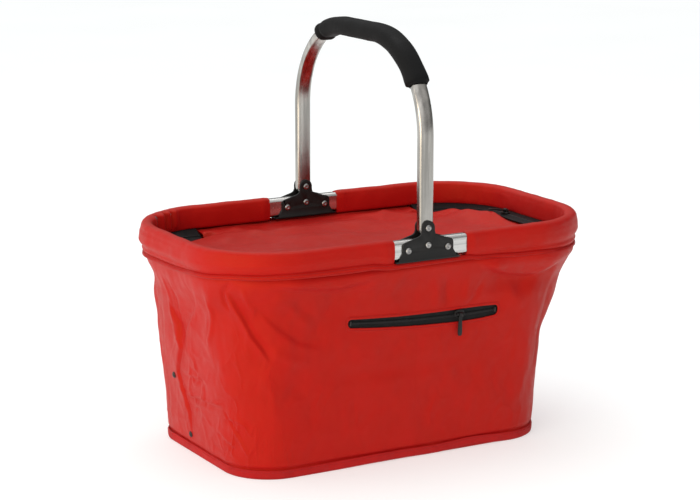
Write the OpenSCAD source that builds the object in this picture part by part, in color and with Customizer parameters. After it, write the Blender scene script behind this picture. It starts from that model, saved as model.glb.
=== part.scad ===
// Folding carry basket: fabric body on an aluminium rim, swing handle, zipped lid and pocket.
// Origin: middle of the base, on the ground. +X is along the length, -Y is the pocket side.

/* [Rim] */
// Half length of the rim, to the middle of its tube
rim_half_l = 233; // [215:1:260]
// Half width of the rim, to the middle of its tube
rim_half_w = 138; // [128:1:150]
// Corner radius of the rim, to the middle of its tube
rim_corner = 90; // [80:1:100]
// Height of the middle of the rim tube above the ground
rim_z = 240; // [225:1:260]
// Thickness of the rim tube
rim_tube_t = 11.6; // [10:0.2:14]
// Height of the rim tube
rim_tube_h = 22; // [18:1:26]
// Wall of both tubes
tube_wall = 1.2; // [0.8:0.1:1.6]
// Edge radius of both tubes
tube_edge = 4; // [3:0.5:5]
// Thickness of the fabric sleeve on the rim tube
sleeve_t = 1.1; // [0.6:0.1:2]
// Drop of the hem below the middle of the rim tube
hem_drop = 22; // [18:1:28]

/* [Sleeve openings at the hinges] */
// Front opening, left of the hinge
open_front_left = 41; // [38:1:60]
// Front opening, right of the hinge
open_front_right = 50; // [38:1:60]
// Rear opening, left of the hinge
open_rear_left = 47; // [38:1:60]
// Rear opening, right of the hinge
open_rear_right = 42; // [38:1:60]

/* [Handle] */
// Height of the middle of the handle tube at the top
handle_top = 461; // [440:1:500]
// Bend radius of the handle, to the middle of its tube
handle_bend = 102; // [70:1:110]
// Width of the handle tube, along the basket
handle_w = 18; // [16:1:20]
// Thickness of the handle tube
handle_t = 11; // [9:0.5:11]
// Height of the handle pivot above the middle of the rim tube
pivot_rise = 22.5; // [21:0.5:28]
// Width of the foam grip, along the basket
grip_w = 27; // [24:1:34]
// Thickness of the foam grip
grip_t = 20; // [18:0.5:26]
// How far the foam grip runs into the front bend, in degrees
grip_bend_front = 58; // [20:1:70]
// How far the foam grip runs into the rear bend, in degrees
grip_bend_rear = 29; // [20:1:70]

/* [Hinge plates] */
// Thickness of a hinge plate
plate_t = 2; // [1.5:0.1:3]
// Half width of a hinge plate at its foot
plate_half = 36.5; // [34:0.5:37]
// Half width of a hinge plate at its shoulder
shoulder_half = 31.5; // [29:0.5:33]
// Radius of the ear round the pivot
ear_r = 8; // [7:0.5:9]
// Distance of the side rivets from the middle
rivet_x = 24.7; // [20:0.1:28]

/* [Body] */
// Thickness of the walls
wall_t = 1.5; // [1.2:0.1:2]
// Height of the fold between the lower and the upper wall
fold_z = 105; // [95:1:110]
// Height of the binding round the base
binding_h = 10; // [8:0.5:12]
// Thickness of the stiff board in the base
board_t = 3; // [2:0.5:4]

/* [Zips] */
// Length of the pocket zip, between its end stops
pocket_zip_l = 184; // [150:2:200]
// Place of the pocket zip's middle along the front
pocket_x = 7; // [-10:1:20]
// Height of the pocket zip's middle
pocket_z = 160; // [145:1:170]
// Fall of the pocket zip to the right, in degrees
pocket_fall = 2; // [0:0.5:4]
// Half length of the sewn rear edge of the lid
lid_hinge_half = 110; // [90:1:125]
// Place of the lid slider along the right end
lid_slider_y = 30; // [0:1:40]

/* [Hidden] */

$fn = 48;
EPS = 0.01;
RED = [0.72, 0.11, 0.12];
BLACK = [0.13, 0.13, 0.13];
SILVER = [0.72, 0.72, 0.70];
GREY = [0.55, 0.53, 0.50];

// Distance kept between bodies that slide past each other.
gap = 0.3;

// Rim
corner_x = rim_half_l - rim_corner;
corner_y = rim_half_w - rim_corner;
sleeve_out = rim_tube_t / 2 + gap + sleeve_t;
sleeve_up = rim_tube_h / 2 + gap + sleeve_t;
hem_z = rim_z - hem_drop;
foot_t = 1.8;
foot_half = 40;
foot_proud = 0.4;
lip_z = rim_z - rim_tube_h / 2 - foot_t;
band_top = lip_z - 0.4;
band_t = 4;
joint_gap = 0.5;
joiner_half = 42;

// Hinges
cheek = rim_tube_t / 2;
pivot_z = rim_z + pivot_rise;
pivot_r = 2.5;
running = 0.05;
rivet_r = 2;
rivet_head_r = 3.5;
rivet_head_h = 1.6;
centre_rivet_z = rim_z + 4;
leg_r = handle_w / 2;

// Handle
bend_z = handle_top - handle_bend;
bend_y = rim_half_w - handle_bend;

// Walls: each station is [height, left end, right end, half width, corner radius].
BASE = [0, -206, 179, 119, 54];
FOLD = [fold_z, -217, 191.5, 123.8, 65];
TOP = [hem_z - gap, -rim_half_l - 6, rim_half_l + 6, rim_half_w + 6, rim_corner + 6];
UPPER = [FOLD, [150, -221, 204, 126.3, 69], [180, -224.5, 215.5, 128, 73],
         [195, -230, 226.5, 131.5, 79], [206, -234.6, 232.8, 137, 87], TOP];
front_slope = atan((128 - FOLD[3]) / (180 - fold_z));
front_y = -(FOLD[3] + (pocket_z - fold_z) * tan(front_slope));

// Zips
zip_tape_t = 0.8;
zip_coil_t = 1.2;
zip_row_w = 1.65;
zip_tape_w = 11;
lid_zip_in = 18;
lid_gap = 0.45;
tape_z = rim_z - 15.6;
lid_t = 1.5;
lid_inset = 20;
lid_z = tape_z - gap - lid_t;
lid_axis_y = rim_half_w - sleeve_out - 1.2;
slider_l = 12;
slider_w = 9;
slider_plate = 2.2;
bar_r = 0.8;
bar_rise = 4.2;
tab_l = 22;

// ---------------------------------------------------------------- outlines

// Rectangle with round corners, made of squares and circles so that it stays exact.
module round_rect(w, h, r) {
  square([w - 2 * r, h], center = true);
  square([w, h - 2 * r], center = true);
  for (x = [-1, 1], y = [-1, 1]) translate([x * (w / 2 - r), y * (h / 2 - r)]) circle(r = r);
}

module tube_profile(w, h, r, wall) {
  difference() {
    round_rect(w, h, r);
    round_rect(w - 2 * wall, h - 2 * wall, r - wall);
  }
}

// Sweeps a profile round the right half of the rim line. The profile's x is outwards and its y is
// upwards. The front stretch starts at x = front and the rear one at x = rear.
module half_loop(front, rear) {
  translate([corner_x, -rim_half_w, 0]) rotate([90, 0, -90])
    linear_extrude(corner_x - front) children();
  translate([rim_half_l, corner_y, 0]) rotate([90, 0, 0])
    linear_extrude(2 * corner_y) children();
  translate([rear, rim_half_w, 0]) rotate([90, 0, 90])
    linear_extrude(corner_x - rear) children();
  for (s = [-1, 1]) translate([corner_x, s * corner_y, 0]) rotate([0, 0, s < 0 ? -90 : 0])
    rotate_extrude(angle = 90, $fn = 96) translate([rim_corner, 0]) children();
}

module left_half(front, rear) mirror([1, 0, 0]) half_loop(front, rear) children();

// Points of one horizontal round-cornered outline; inset draws it in by that much.
CORNER_STEPS = 12;
function arc_points(cx, cy, r, from, z) =
  [for (i = [0:CORNER_STEPS]) let (a = from + 90 * i / CORNER_STEPS)
    [cx + r * cos(a), cy + r * sin(a), z]];
function ring(s, inset) =
  let (left = s[1] + inset, right = s[2] - inset, w = s[3] - inset, r = s[4] - inset, z = s[0])
  concat(arc_points(right - r, w - r, r, 0, z), arc_points(left + r, w - r, r, 90, z),
         arc_points(left + r, r - w, r, 180, z), arc_points(right - r, r - w, r, 270, z));

// Thin closed shell through the stations, open at the top and bottom.
module shell(stations, inset, thickness) {
  rows = len(stations);
  n = 4 * (CORNER_STEPS + 1);
  points = concat([for (s = stations) each ring(s, inset)],
                  [for (s = stations) each ring(s, inset + thickness)]);
  inner = rows * n;
  function quad(a, b, c, d) = [[a, b, c], [a, c, d]];
  sides = [for (k = [0:rows - 2], i = [0:n - 1]) let (j = (i + 1) % n, a = k * n, b = a + n)
    each concat(quad(a + i, b + i, b + j, a + j),
                quad(inner + a + i, inner + a + j, inner + b + j, inner + b + i))];
  last = (rows - 1) * n;
  rims = [for (i = [0:n - 1]) let (j = (i + 1) % n)
    each concat(quad(i, j, inner + j, inner + i),
                quad(last + i, inner + last + i, inner + last + j, last + j))];
  polyhedron(points, concat(sides, rims), convexity = 6);
}

// Flat plate with a base-like outline, made of exact primitives.
module base_plate(z, h, inset) {
  left = BASE[1] + inset;
  right = BASE[2] - inset;
  w = BASE[3] - inset;
  r = BASE[4] - inset;
  translate([(left + right) / 2, 0, z]) linear_extrude(h)
    round_rect(right - left, 2 * w, r, $fn = 96);
}

// ---------------------------------------------------------------- base

module base_panel() color(RED) base_plate(0, wall_t, 0.2);

module base_board() color(GREY) base_plate(wall_t + gap, board_t, 4.5);

module base_binding() color(RED) difference() {
  base_plate(0, binding_h, -1.6);
  base_plate(-1, binding_h + 2, 0);
}

LOWER_TOP = [fold_z - gap, FOLD[1], FOLD[2], FOLD[3], FOLD[4]];
LOWER_FOOT = [wall_t + gap, BASE[1], BASE[2], BASE[3], BASE[4]];
module lower_wall() color(RED) shell([LOWER_FOOT, LOWER_TOP], wall_t + gap, wall_t);

// Press studs sit on the end walls; [y, z] of each, toward the rear.
STUDS = [[42, 84], [15, 21.5]];
stud_r = 3.4;
function end_x(side, z) = let (k = z / fold_z, i = side < 0 ? 1 : 2)
  BASE[i] + (FOLD[i] - BASE[i]) * k - side * (wall_t + gap);
function end_slope(side) = let (i = side < 0 ? 1 : 2) atan(abs(FOLD[i] - BASE[i]) / fold_z);
module at_studs() for (side = [-1, 1], s = STUDS)
  translate([end_x(side, s[1]), s[0], s[1]]) rotate([0, side * (90 + end_slope(side)), 0])
    children();

module press_stud_caps() color(BLACK) at_studs() translate([0, 0, 0.15]) rotate_extrude()
  union() {
    square([stud_r, 0.5]);
    intersection() {
      translate([0, -4.6]) circle(r = 5.8);
      translate([0, 0.5]) square([stud_r, 2]);
    }
  }

module press_stud_sockets() color(BLACK) at_studs() translate([0, 0, -wall_t - 2.3])
  difference() {
    cylinder(r = stud_r + 1, h = 2);
    translate([0, 0, -EPS]) cylinder(r = 1.6, h = 1.4);
  }

// ---------------------------------------------------------------- fabric on the rim

// Zip frame on the front wall: x along the zip, y inwards from the wall's outer face, z upwards.
module on_front() translate([pocket_x, front_y, pocket_z]) rotate([front_slope, pocket_fall, 0])
  children();

module upper_wall() color(RED) difference() {
  shell(UPPER, 0, wall_t);
  on_front() translate([-pocket_zip_l / 2 - 3, -3, -5]) cube([pocket_zip_l + 6, 6.5, 10]);
}

module band_profile() translate([sleeve_out - band_t, hem_z]) square([band_t, band_top - hem_z]);

module hem_band() color(RED) {
  half_loop(0, 0) band_profile();
  left_half(0, 0) band_profile();
}

module sleeve_profile() {
  translate([0, rim_z]) difference() {
    round_rect(2 * sleeve_out, 2 * sleeve_up, tube_edge + sleeve_t + gap);
    round_rect(rim_tube_t + 2 * gap, rim_tube_h + 2 * gap, tube_edge + gap);
  }
  translate([sleeve_out - band_t, band_top])
    square([band_t, rim_z - rim_tube_h / 2 - gap - band_top]);
}

module rim_sleeve_right() color(RED) half_loop(open_front_right, open_rear_right) sleeve_profile();
module rim_sleeve_left() color(RED) left_half(open_front_left, open_rear_left) sleeve_profile();

// ---------------------------------------------------------------- rim and hinges

// Holes for the rivets of both hinges.
module rivet_holes(r, xs, z) for (x = xs)
  translate([x, 0, z]) rotate([90, 0, 0]) cylinder(r = r, h = 2 * rim_half_w + 40, center = true);

module frame_rivet_holes() {
  rivet_holes(rivet_r, [-rivet_x, rivet_x], rim_z);
  rivet_holes(rivet_r, [0], centre_rivet_z);
}

module rim_tube_right() color(SILVER) difference() {
  half_loop(joint_gap, joint_gap) translate([0, rim_z])
    tube_profile(rim_tube_t, rim_tube_h, tube_edge, tube_wall);
  frame_rivet_holes();
}
module rim_tube_left() mirror([1, 0, 0]) rim_tube_right();

module rim_joiner(side) color(GREY) difference() {
  translate([-joiner_half, side * rim_half_w, rim_z]) rotate([90, 0, 90])
    linear_extrude(2 * joiner_half)
      round_rect(rim_tube_t - 2 * tube_wall - 0.2, rim_tube_h - 2 * tube_wall - 0.2,
                 tube_edge - tube_wall);
  frame_rivet_holes();
}
module rim_joiner_front() rim_joiner(-1);
module rim_joiner_rear() rim_joiner(1);

// Outline of a hinge plate: x along the basket, y is height. The ear rises out of sloping
// shoulders with round ends, and the foot is wider than the rest.
shoulder_r = 5;
shoulder_z = rim_z + 4.5;
shoulder_slope = 16;
neck_run = 17;
module plate_outline() {
  shoulder = [shoulder_half - shoulder_r, shoulder_z];
  slope_end = shoulder + shoulder_r * [sin(shoulder_slope), cos(shoulder_slope)];
  neck = slope_end + neck_run * [-cos(shoulder_slope), sin(shoulder_slope)];
  half = [[plate_half, lip_z + foot_t / 2], [plate_half, lip_z + foot_t], [shoulder_half, rim_z - 3],
          [shoulder_half, shoulder_z], shoulder, slope_end, neck,
          [ear_r + 1.1, neck[1] + 1.6], [ear_r, pivot_z - 4], [ear_r, pivot_z]];
  polygon(concat(half, [for (i = [len(half) - 1:-1:0]) [-half[i][0], half[i][1]]]));
  for (s = [-1, 1]) translate([s * shoulder[0], shoulder[1]]) circle(r = shoulder_r);
  translate([0, pivot_z]) circle(r = ear_r);
}

// face is the plate's side of the rim tube: 1 outside, -1 inside. side is -1 front, 1 rear.
module hinge_plate(side, face) color(BLACK) translate([0, side * rim_half_w, 0])
  mirror([0, side * face < 0 ? 1 : 0, 0]) {
    difference() {
      translate([0, cheek + plate_t, 0]) rotate([90, 0, 0]) linear_extrude(plate_t) plate_outline();
      frame_rivet_holes();
      rivet_holes(pivot_r, [0], pivot_z);
    }
    // Foot that turns in under the tube
    translate([-foot_half, 0.3, lip_z]) cube([2 * foot_half, cheek + plate_t + foot_proud - 0.3, foot_t]);
  }
module hinge_plate_front_outer() hinge_plate(-1, 1);
module hinge_plate_front_inner() hinge_plate(-1, -1);
module hinge_plate_rear_outer() hinge_plate(1, 1);
module hinge_plate_rear_inner() hinge_plate(1, -1);

// Domed head, standing on z = 0
module rivet_head() rotate_extrude() intersection() {
  translate([0, -3.1]) circle(r = 4.7);
  square([rivet_head_r, rivet_head_h]);
}

// Rivet through both plates of one hinge
module rivet(side, x, z, r) translate([x, side * rim_half_w, z]) rotate([90, 0, 0]) {
  cylinder(r = r, h = 2 * (cheek + plate_t), center = true);
  for (m = [0, 1]) mirror([0, 0, m]) translate([0, 0, cheek + plate_t]) rivet_head();
}

module side_rivets() color(SILVER) for (side = [-1, 1], s = [-1, 1])
  rivet(side, s * rivet_x, rim_z, rivet_r);
module centre_rivets() color(SILVER) for (side = [-1, 1])
  rivet(side, 0, centre_rivet_z, rivet_r);
module pivot_rivets() color(SILVER) for (side = [-1, 1])
  rivet(side, 0, pivot_z, pivot_r);

// ---------------------------------------------------------------- handle

// Arch from the pivots over the top; the child profile's x is along the basket. leg is how far
// its legs run down below the bends.
module arch(leg) {
  translate([0, bend_y, handle_top]) rotate([90, 0, 0]) linear_extrude(2 * bend_y) children();
  for (m = [0, 1]) mirror([0, m, 0]) {
    translate([0, bend_y, bend_z]) rotate([90, 0, 90]) rotate_extrude(angle = 90, $fn = 96)
      translate([handle_bend, 0]) rotate([0, 0, 90]) children();
    translate([0, rim_half_w, bend_z - leg]) linear_extrude(leg) children();
  }
}

// Round end of both legs about the pivot
module leg_space(r) {
  rotate([90, 0, 0]) translate([0, pivot_z, 0]) cylinder(r = r, h = 400, center = true);
  translate([-50, -200, pivot_z]) cube([100, 400, 300]);
}

module handle_tube() color(SILVER) difference() {
  intersection() {
    arch(bend_z - pivot_z + leg_r) tube_profile(handle_w, handle_t, tube_edge, tube_wall);
    leg_space(leg_r);
  }
  rivet_holes(pivot_r + running, [0], pivot_z);
}

module leg_end_plugs() color(BLACK) difference() {
  intersection() {
    for (side = [-1, 1]) translate([0, side * rim_half_w, pivot_z - leg_r]) linear_extrude(26)
      round_rect(handle_w - 2 * tube_wall - 0.2, handle_t - 2 * tube_wall - 0.2,
                 tube_edge - tube_wall);
    leg_space(leg_r - 0.4);
  }
  rivet_holes(pivot_r + running, [0], pivot_z);
}

// The part of the arch that the foam grip covers, seen along the basket
module grip_span() translate([-50, 0, 0]) rotate([90, 0, 90]) linear_extrude(100) {
  reach = 200;
  polygon([[bend_y, bend_z], [-bend_y, bend_z],
           [-bend_y - reach * sin(grip_bend_front), bend_z + reach * cos(grip_bend_front)],
           [-bend_y - reach, bend_z + reach], [bend_y + reach, bend_z + reach],
           [bend_y + reach * sin(grip_bend_rear), bend_z + reach * cos(grip_bend_rear)]]);
}

module foam_grip() color(BLACK) intersection() {
  arch(10) difference() {
    round_rect(grip_w, grip_t, 9);
    round_rect(handle_w + 1, handle_t + 1, tube_edge + 0.5);
  }
  grip_span();
}

// ---------------------------------------------------------------- zips

// Zip slider: runs along x, sits on z = 0 over the coil, with a bar for the pull tab.
module slider() {
  cheek_h = zip_coil_t + gap;
  translate([0, 0, cheek_h + slider_plate / 2])
    cube([slider_l, slider_w, slider_plate], center = true);
  for (s = [-1, 1]) translate([0, s * (slider_w / 2 - 0.8), cheek_h / 2 + 0.15])
    cube([slider_l, 1.6, cheek_h - 0.3], center = true);
  for (s = [-1, 1]) translate([s * 4, 0, cheek_h + slider_plate + 1])
    cube([1.6, 2.4, 2 * (bar_rise - cheek_h - slider_plate) + 3.2], center = true);
  translate([0, 0, bar_rise + cheek_h]) rotate([0, 90, 0]) cylinder(r = bar_r, h = 8, center = true);
}

// Pull tab with its eye at the origin, hanging along -y, eye axis along x
module pull_tab() difference() {
  union() {
    rotate([0, 90, 0]) cylinder(r = 1.9, h = 4.4, center = true);
    translate([-2.2, -tab_l, -0.8]) cube([4.4, tab_l, 1.6]);
    translate([0, -tab_l, 0]) cylinder(r = 2.9, h = 1.6, center = true);
  }
  rotate([0, 90, 0]) cylinder(r = bar_r + 0.08, h = 10, center = true);
}

// Pocket zip, in the frame of on_front(): the tape lies behind the window in the wall.
tape_y = wall_t + gap + 0.2;
pocket_slider_x = 45;
module pocket_zip_tape() color(BLACK) on_front() translate([-pocket_zip_l / 2 - 8, tape_y, -zip_tape_w])
  cube([pocket_zip_l + 16, zip_tape_t, 2 * zip_tape_w]);

module pocket_zip_coil() color(BLACK) on_front() for (s = [-1, 1])
  translate([-pocket_zip_l / 2 + 1, tape_y - zip_coil_t, s * (zip_row_w / 2 + 0.1) - zip_row_w / 2])
    cube([pocket_zip_l - 2, zip_coil_t, zip_row_w]);

module pocket_zip_stops() color(SILVER) on_front() for (s = [-1, 1])
  translate([s * pocket_zip_l / 2 - 0.9, tape_y - 1.8, -2.4]) cube([1.8, 1.8, 4.8]);

// Moves the slider's frame onto the pocket zip: its z points out of the wall.
module on_pocket_slider() on_front() translate([pocket_slider_x, tape_y, 0]) rotate([90, 0, 0])
  children();

module pocket_slider() color(BLACK) on_pocket_slider() slider();

bar_out = bar_rise + zip_coil_t + gap;
module pocket_pull_tab() color(BLACK) on_front() translate([pocket_slider_x, tape_y - bar_out, 0])
  rotate([-front_slope, 0, 0]) rotate([90, 0, 0]) pull_tab();

// Inner bag of the pocket: hangs behind the zip, inside both walls.
module pocket_bag() color(RED) {
  bag_w = pocket_zip_l + 10;
  bag_t = 2.4;
  top_y = front_y + wall_t + 3.6;
  step_y = -(FOLD[3] - 2 * wall_t - 2 * gap) + 0.8;
  foot_y = step_y + 2.6;
  translate([pocket_x - bag_w / 2, 0, 0]) rotate([90, 0, 90]) linear_extrude(bag_w)
    polygon([[top_y - 0.4, pocket_z + 14], [step_y, fold_z - 2], [foot_y, 50], [foot_y + bag_t, 50],
             [step_y + bag_t, fold_z - 2], [top_y + 2, pocket_z + 14]]);
}

// Ring of a zip part round the lid, open over the sewn rear edge
module lid_ring(from, to, z, h) {
  half_loop(0, lid_hinge_half) translate([-to, z]) square([to - from, h]);
  left_half(0, lid_hinge_half) translate([-to, z]) square([to - from, h]);
}

module lid_tape_outer() color(BLACK)
  lid_ring(sleeve_out + 0.2, lid_zip_in - gap / 2, tape_z, zip_tape_t);
module lid_coil_outer() color(BLACK)
  lid_ring(lid_zip_in - gap / 2 - zip_row_w, lid_zip_in - gap / 2, tape_z + zip_tape_t, zip_coil_t);
module lid_tape_inner() color(BLACK)
  lid_ring(lid_zip_in + lid_gap, lid_zip_in + zip_tape_w, tape_z, zip_tape_t);
module lid_coil_inner() color(BLACK)
  lid_ring(lid_zip_in + lid_gap, lid_zip_in + lid_gap + zip_row_w, tape_z + zip_tape_t, zip_coil_t);

module lid_panel() color(RED) translate([0, 0, lid_z]) {
  linear_extrude(lid_t) round_rect(2 * (rim_half_l - lid_inset), 2 * (rim_half_w - lid_inset),
                                   rim_corner - lid_inset, $fn = 96);
  translate([0.5 - lid_hinge_half, rim_half_w - lid_inset - 2, 0])
    cube([2 * lid_hinge_half - 1, lid_axis_y - rim_half_w + lid_inset + 2.5, lid_t]);
}

// Moves the slider's frame onto the lid zip at the right end: x runs along +Y.
module on_lid_slider() translate([rim_half_l - lid_zip_in, lid_slider_y, tape_z + zip_tape_t])
  rotate([0, 0, 90]) children();

module lid_slider() color(BLACK) on_lid_slider() slider();
// The tab lies over the lid, drooping to its tip.
tab_droop = 8;
module lid_pull_tab() color(BLACK) on_lid_slider() translate([0, 0, bar_out])
  rotate([-tab_droop, 0, 0]) mirror([0, 1, 0]) pull_tab();

// ---------------------------------------------------------------- nodes

base_panel();
base_board();
base_binding();
lower_wall();
press_stud_caps();
press_stud_sockets();
upper_wall();
hem_band();
rim_sleeve_left();
rim_sleeve_right();
rim_tube_left();
rim_tube_right();
rim_joiner_front();
rim_joiner_rear();
hinge_plate_front_outer();
hinge_plate_front_inner();
hinge_plate_rear_outer();
hinge_plate_rear_inner();
side_rivets();
centre_rivets();
pivot_rivets();
handle_tube();
leg_end_plugs();
foam_grip();
pocket_bag();
pocket_zip_tape();
pocket_zip_coil();
pocket_zip_stops();
pocket_slider();
pocket_pull_tab();
lid_tape_outer();
lid_coil_outer();
lid_panel();
lid_tape_inner();
lid_coil_inner();
lid_slider();
lid_pull_tab();
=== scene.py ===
"""Looks of the folding carry basket: cloth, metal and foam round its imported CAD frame.

Lengths are in millimetres in this script and become metres when a mesh is made. A place on the
rim or the wall is given by s, the distance along the rim's middle line from the middle of the
front towards +X, and by a height z or an outward offset d.
"""

import math

import bmesh
import bpy
import numpy as np
from mathutils import Matrix, Vector, noise


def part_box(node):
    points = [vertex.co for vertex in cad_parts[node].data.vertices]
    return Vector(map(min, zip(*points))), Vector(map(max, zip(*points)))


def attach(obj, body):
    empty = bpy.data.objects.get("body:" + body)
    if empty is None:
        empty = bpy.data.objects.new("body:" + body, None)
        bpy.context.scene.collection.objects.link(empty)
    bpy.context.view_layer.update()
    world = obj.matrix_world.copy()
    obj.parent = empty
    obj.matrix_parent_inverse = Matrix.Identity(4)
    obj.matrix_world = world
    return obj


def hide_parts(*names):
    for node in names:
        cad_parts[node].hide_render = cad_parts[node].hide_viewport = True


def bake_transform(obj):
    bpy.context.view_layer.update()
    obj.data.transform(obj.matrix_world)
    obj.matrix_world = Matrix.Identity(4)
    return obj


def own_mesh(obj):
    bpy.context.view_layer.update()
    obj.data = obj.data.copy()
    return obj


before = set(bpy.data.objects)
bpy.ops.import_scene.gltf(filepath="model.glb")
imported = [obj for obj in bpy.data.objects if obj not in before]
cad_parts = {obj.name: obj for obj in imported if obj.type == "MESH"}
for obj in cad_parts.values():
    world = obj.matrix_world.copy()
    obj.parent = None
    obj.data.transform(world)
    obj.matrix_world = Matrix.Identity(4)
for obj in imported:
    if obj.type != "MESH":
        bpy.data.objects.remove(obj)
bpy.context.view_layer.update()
MM = 0.001


# ---------------------------------------------------------------- sizes, from the frame


def span(node):
    """Lowest and highest corner of a CAD node, in mm."""
    low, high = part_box(node)
    return np.array(low) / MM, np.array(high) / MM


def node_points(node):
    """Corner points of a CAD node's mesh, in mm."""
    return np.array([v.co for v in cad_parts[node].data.vertices]) / MM


def cut_edges(node, nearest):
    """x at which a sleeve ends beside the hinge plates, at the front and at the rear."""
    points = node_points(node)
    return [nearest(points[points[:, 1] * side > 0, 0]) for side in (-1, 1)]


TUBE_LOW, TUBE_HIGH = span("rim_tube_right")
RIM_Z = (TUBE_LOW[2] + TUBE_HIGH[2]) / 2
TUBE_T = 11.6
HALF_L = TUBE_HIGH[0] - TUBE_T / 2
HALF_W = TUBE_HIGH[1] - TUBE_T / 2
CORNER = 90.0
FRONT_LEFT, REAR_LEFT = cut_edges("rim_sleeve_left", np.max)
FRONT_RIGHT, REAR_RIGHT = cut_edges("rim_sleeve_right", np.min)
FOOT_Z = span("hinge_plate_front_outer")[0][2]
FOLD_Z = span("lower_wall")[1][2]
LID_AXIS_Z = span("lid_panel")[1][2] - 0.75

# Stretches of the rim's middle line, in the order of s
STRAIGHT = HALF_L - CORNER
ARC = CORNER * math.pi / 2
END = 2 * (HALF_W - CORNER)
STRETCHES = np.array([STRAIGHT, ARC, END, ARC, STRAIGHT, STRAIGHT, ARC, END, ARC, STRAIGHT])
KNOTS = np.concatenate([[0], np.cumsum(STRETCHES)])
LOOP = KNOTS[-1]
REAR = KNOTS[5]


def ring(s, left, right, half, corner):
    """Points (x, y) and outward normals at places s of a round-cornered outline."""
    s = np.mod(np.asarray(s, float), LOOP)
    k = np.clip(np.searchsorted(KNOTS, s, side="right") - 1, 0, 9)
    t = (s - KNOTS[k]) / STRETCHES[k]
    x0, x1, y1 = left + corner, right - corner, half - corner
    x, y, nx, ny = (np.zeros_like(s) for _ in range(4))
    for place, a, b, normal in (
        (0, (0, -half), (x1, -half), (0, -1)),
        (2, (right, -y1), (right, y1), (1, 0)),
        (4, (x1, half), (0, half), (0, 1)),
        (5, (0, half), (x0, half), (0, 1)),
        (7, (left, y1), (left, -y1), (-1, 0)),
        (9, (x0, -half), (0, -half), (0, -1)),
    ):
        m = k == place
        x[m] = a[0] + (b[0] - a[0]) * t[m]
        y[m] = a[1] + (b[1] - a[1]) * t[m]
        nx[m], ny[m] = normal
    for place, cx, cy, turn in ((1, x1, -y1, -90), (3, x1, y1, 0), (6, x0, y1, 90),
                                (8, x0, -y1, 180)):
        m = k == place
        angle = np.radians(turn + 90 * t[m])
        nx[m], ny[m] = np.cos(angle), np.sin(angle)
        x[m], y[m] = cx + corner * nx[m], cy + corner * ny[m]
    return np.stack([x, y], -1), np.stack([nx, ny], -1)


def rim_point(s, d, z):
    """Point beside the rim's middle line, d outwards, at height z."""
    at, out = ring(s, -HALF_L, HALF_L, HALF_W, CORNER)
    d, z = np.broadcast_to(d, np.shape(s)), np.broadcast_to(z, np.shape(s))
    return np.concatenate([at + out * d[..., None], z[..., None]], -1)


def rim_place(x, rear=False):
    """Place s of the point x on the straight front or rear stretch."""
    return REAR - x if rear else x % LOOP


def around(s, *points):
    """Smooth periodic value along s through (s, value) points."""
    s = signed(s)
    points = sorted(points)
    xs = np.array([p[0] for p in points])
    ys = np.array([p[1] for p in points])
    xs = np.concatenate([[xs[-1] - LOOP], xs, [xs[0] + LOOP]])
    ys = np.concatenate([[ys[-1]], ys, [ys[0]]])
    k = np.clip(np.searchsorted(xs, s, side="right") - 1, 0, len(xs) - 2)
    t = smooth((s - xs[k]) / (xs[k + 1] - xs[k]))
    return ys[k] * (1 - t) + ys[k + 1] * t


def signed(s):
    """s from -LOOP / 2 to LOOP / 2: below 0 on the left half of the rim."""
    return np.mod(np.asarray(s, float) + LOOP / 2, LOOP) - LOOP / 2


def bump(x, middle, width):
    """1 at the middle, dying out within about two widths."""
    return np.exp(-(((x - middle) / width) ** 2))


def smooth(t):
    """Eased share: level at 0 and at 1."""
    return t * t * (3 - 2 * t)


def running(path):
    """Length of each step of a path, and the length run up to each of its points."""
    steps = np.linalg.norm(np.diff(path, axis=0), axis=1)
    return steps, np.concatenate([[0], np.cumsum(steps)])


def upright(normals):
    """Level (x, y) normals as (x, y, 0)."""
    return np.concatenate([normals, np.zeros((len(normals), 1))], 1)


# ---------------------------------------------------------------- mesh helpers


def linked(name, data, material):
    """Object of a mesh in one material, in the scene."""
    data.materials.append(material)
    obj = bpy.data.objects.new(name, data)
    bpy.context.scene.collection.objects.link(obj)
    return obj


def new_object(name, points, faces, material, uv=None):
    """Mesh object from points in mm; uv gives one pair per face corner, in metres."""
    data = bpy.data.meshes.new(name)
    data.from_pydata((np.asarray(points, float) * MM).tolist(), [], faces)
    if uv is not None:
        layer = data.uv_layers.new(name="UVMap")
        layer.data.foreach_set("uv", np.asarray(uv, np.float32).ravel())
    data.polygons.foreach_set("use_smooth", [True] * len(data.polygons))
    data.update()
    return linked(name, data, material)


def grid_object(name, points, flat, material, closed=False, skip=None):
    """Object from a grid of points [row, column, xyz]; flat [row, column, 2] is its cloth in mm.
    closed joins the last column to the first, and skip marks faces to leave out."""
    rows, cols = points.shape[:2]
    wrap = 2 * flat[:, -1] - flat[:, -2]
    flat = np.concatenate([flat, wrap[:, None]], 1)
    faces, uv = [], []
    for r in range(rows - 1):
        for c in range(cols if closed else cols - 1):
            if skip is not None and skip[r, c]:
                continue
            n = (c + 1) % cols
            faces.append((r * cols + c, r * cols + n, (r + 1) * cols + n, (r + 1) * cols + c))
            uv += [flat[r, c], flat[r, c + 1], flat[r + 1, c + 1], flat[r + 1, c]]
    return new_object(name, points.reshape(-1, 3), faces, material, np.array(uv) * MM)


def apply_modifiers(obj):
    """Makes the modifiers' result the object's own mesh."""
    bpy.context.view_layer.update()
    result = bpy.data.meshes.new_from_object(
        obj.evaluated_get(bpy.context.evaluated_depsgraph_get()))
    obj.modifiers.clear()
    obj.data = result
    return obj


def thicken(obj, thickness):
    """Gives a sheet its thickness in mm, behind its face."""
    m = obj.modifiers.new("thickness", "SOLIDIFY")
    m.thickness = thickness * MM
    m.offset = -1
    m.use_rim = True
    m.use_even_offset = True
    return apply_modifiers(obj)


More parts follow.
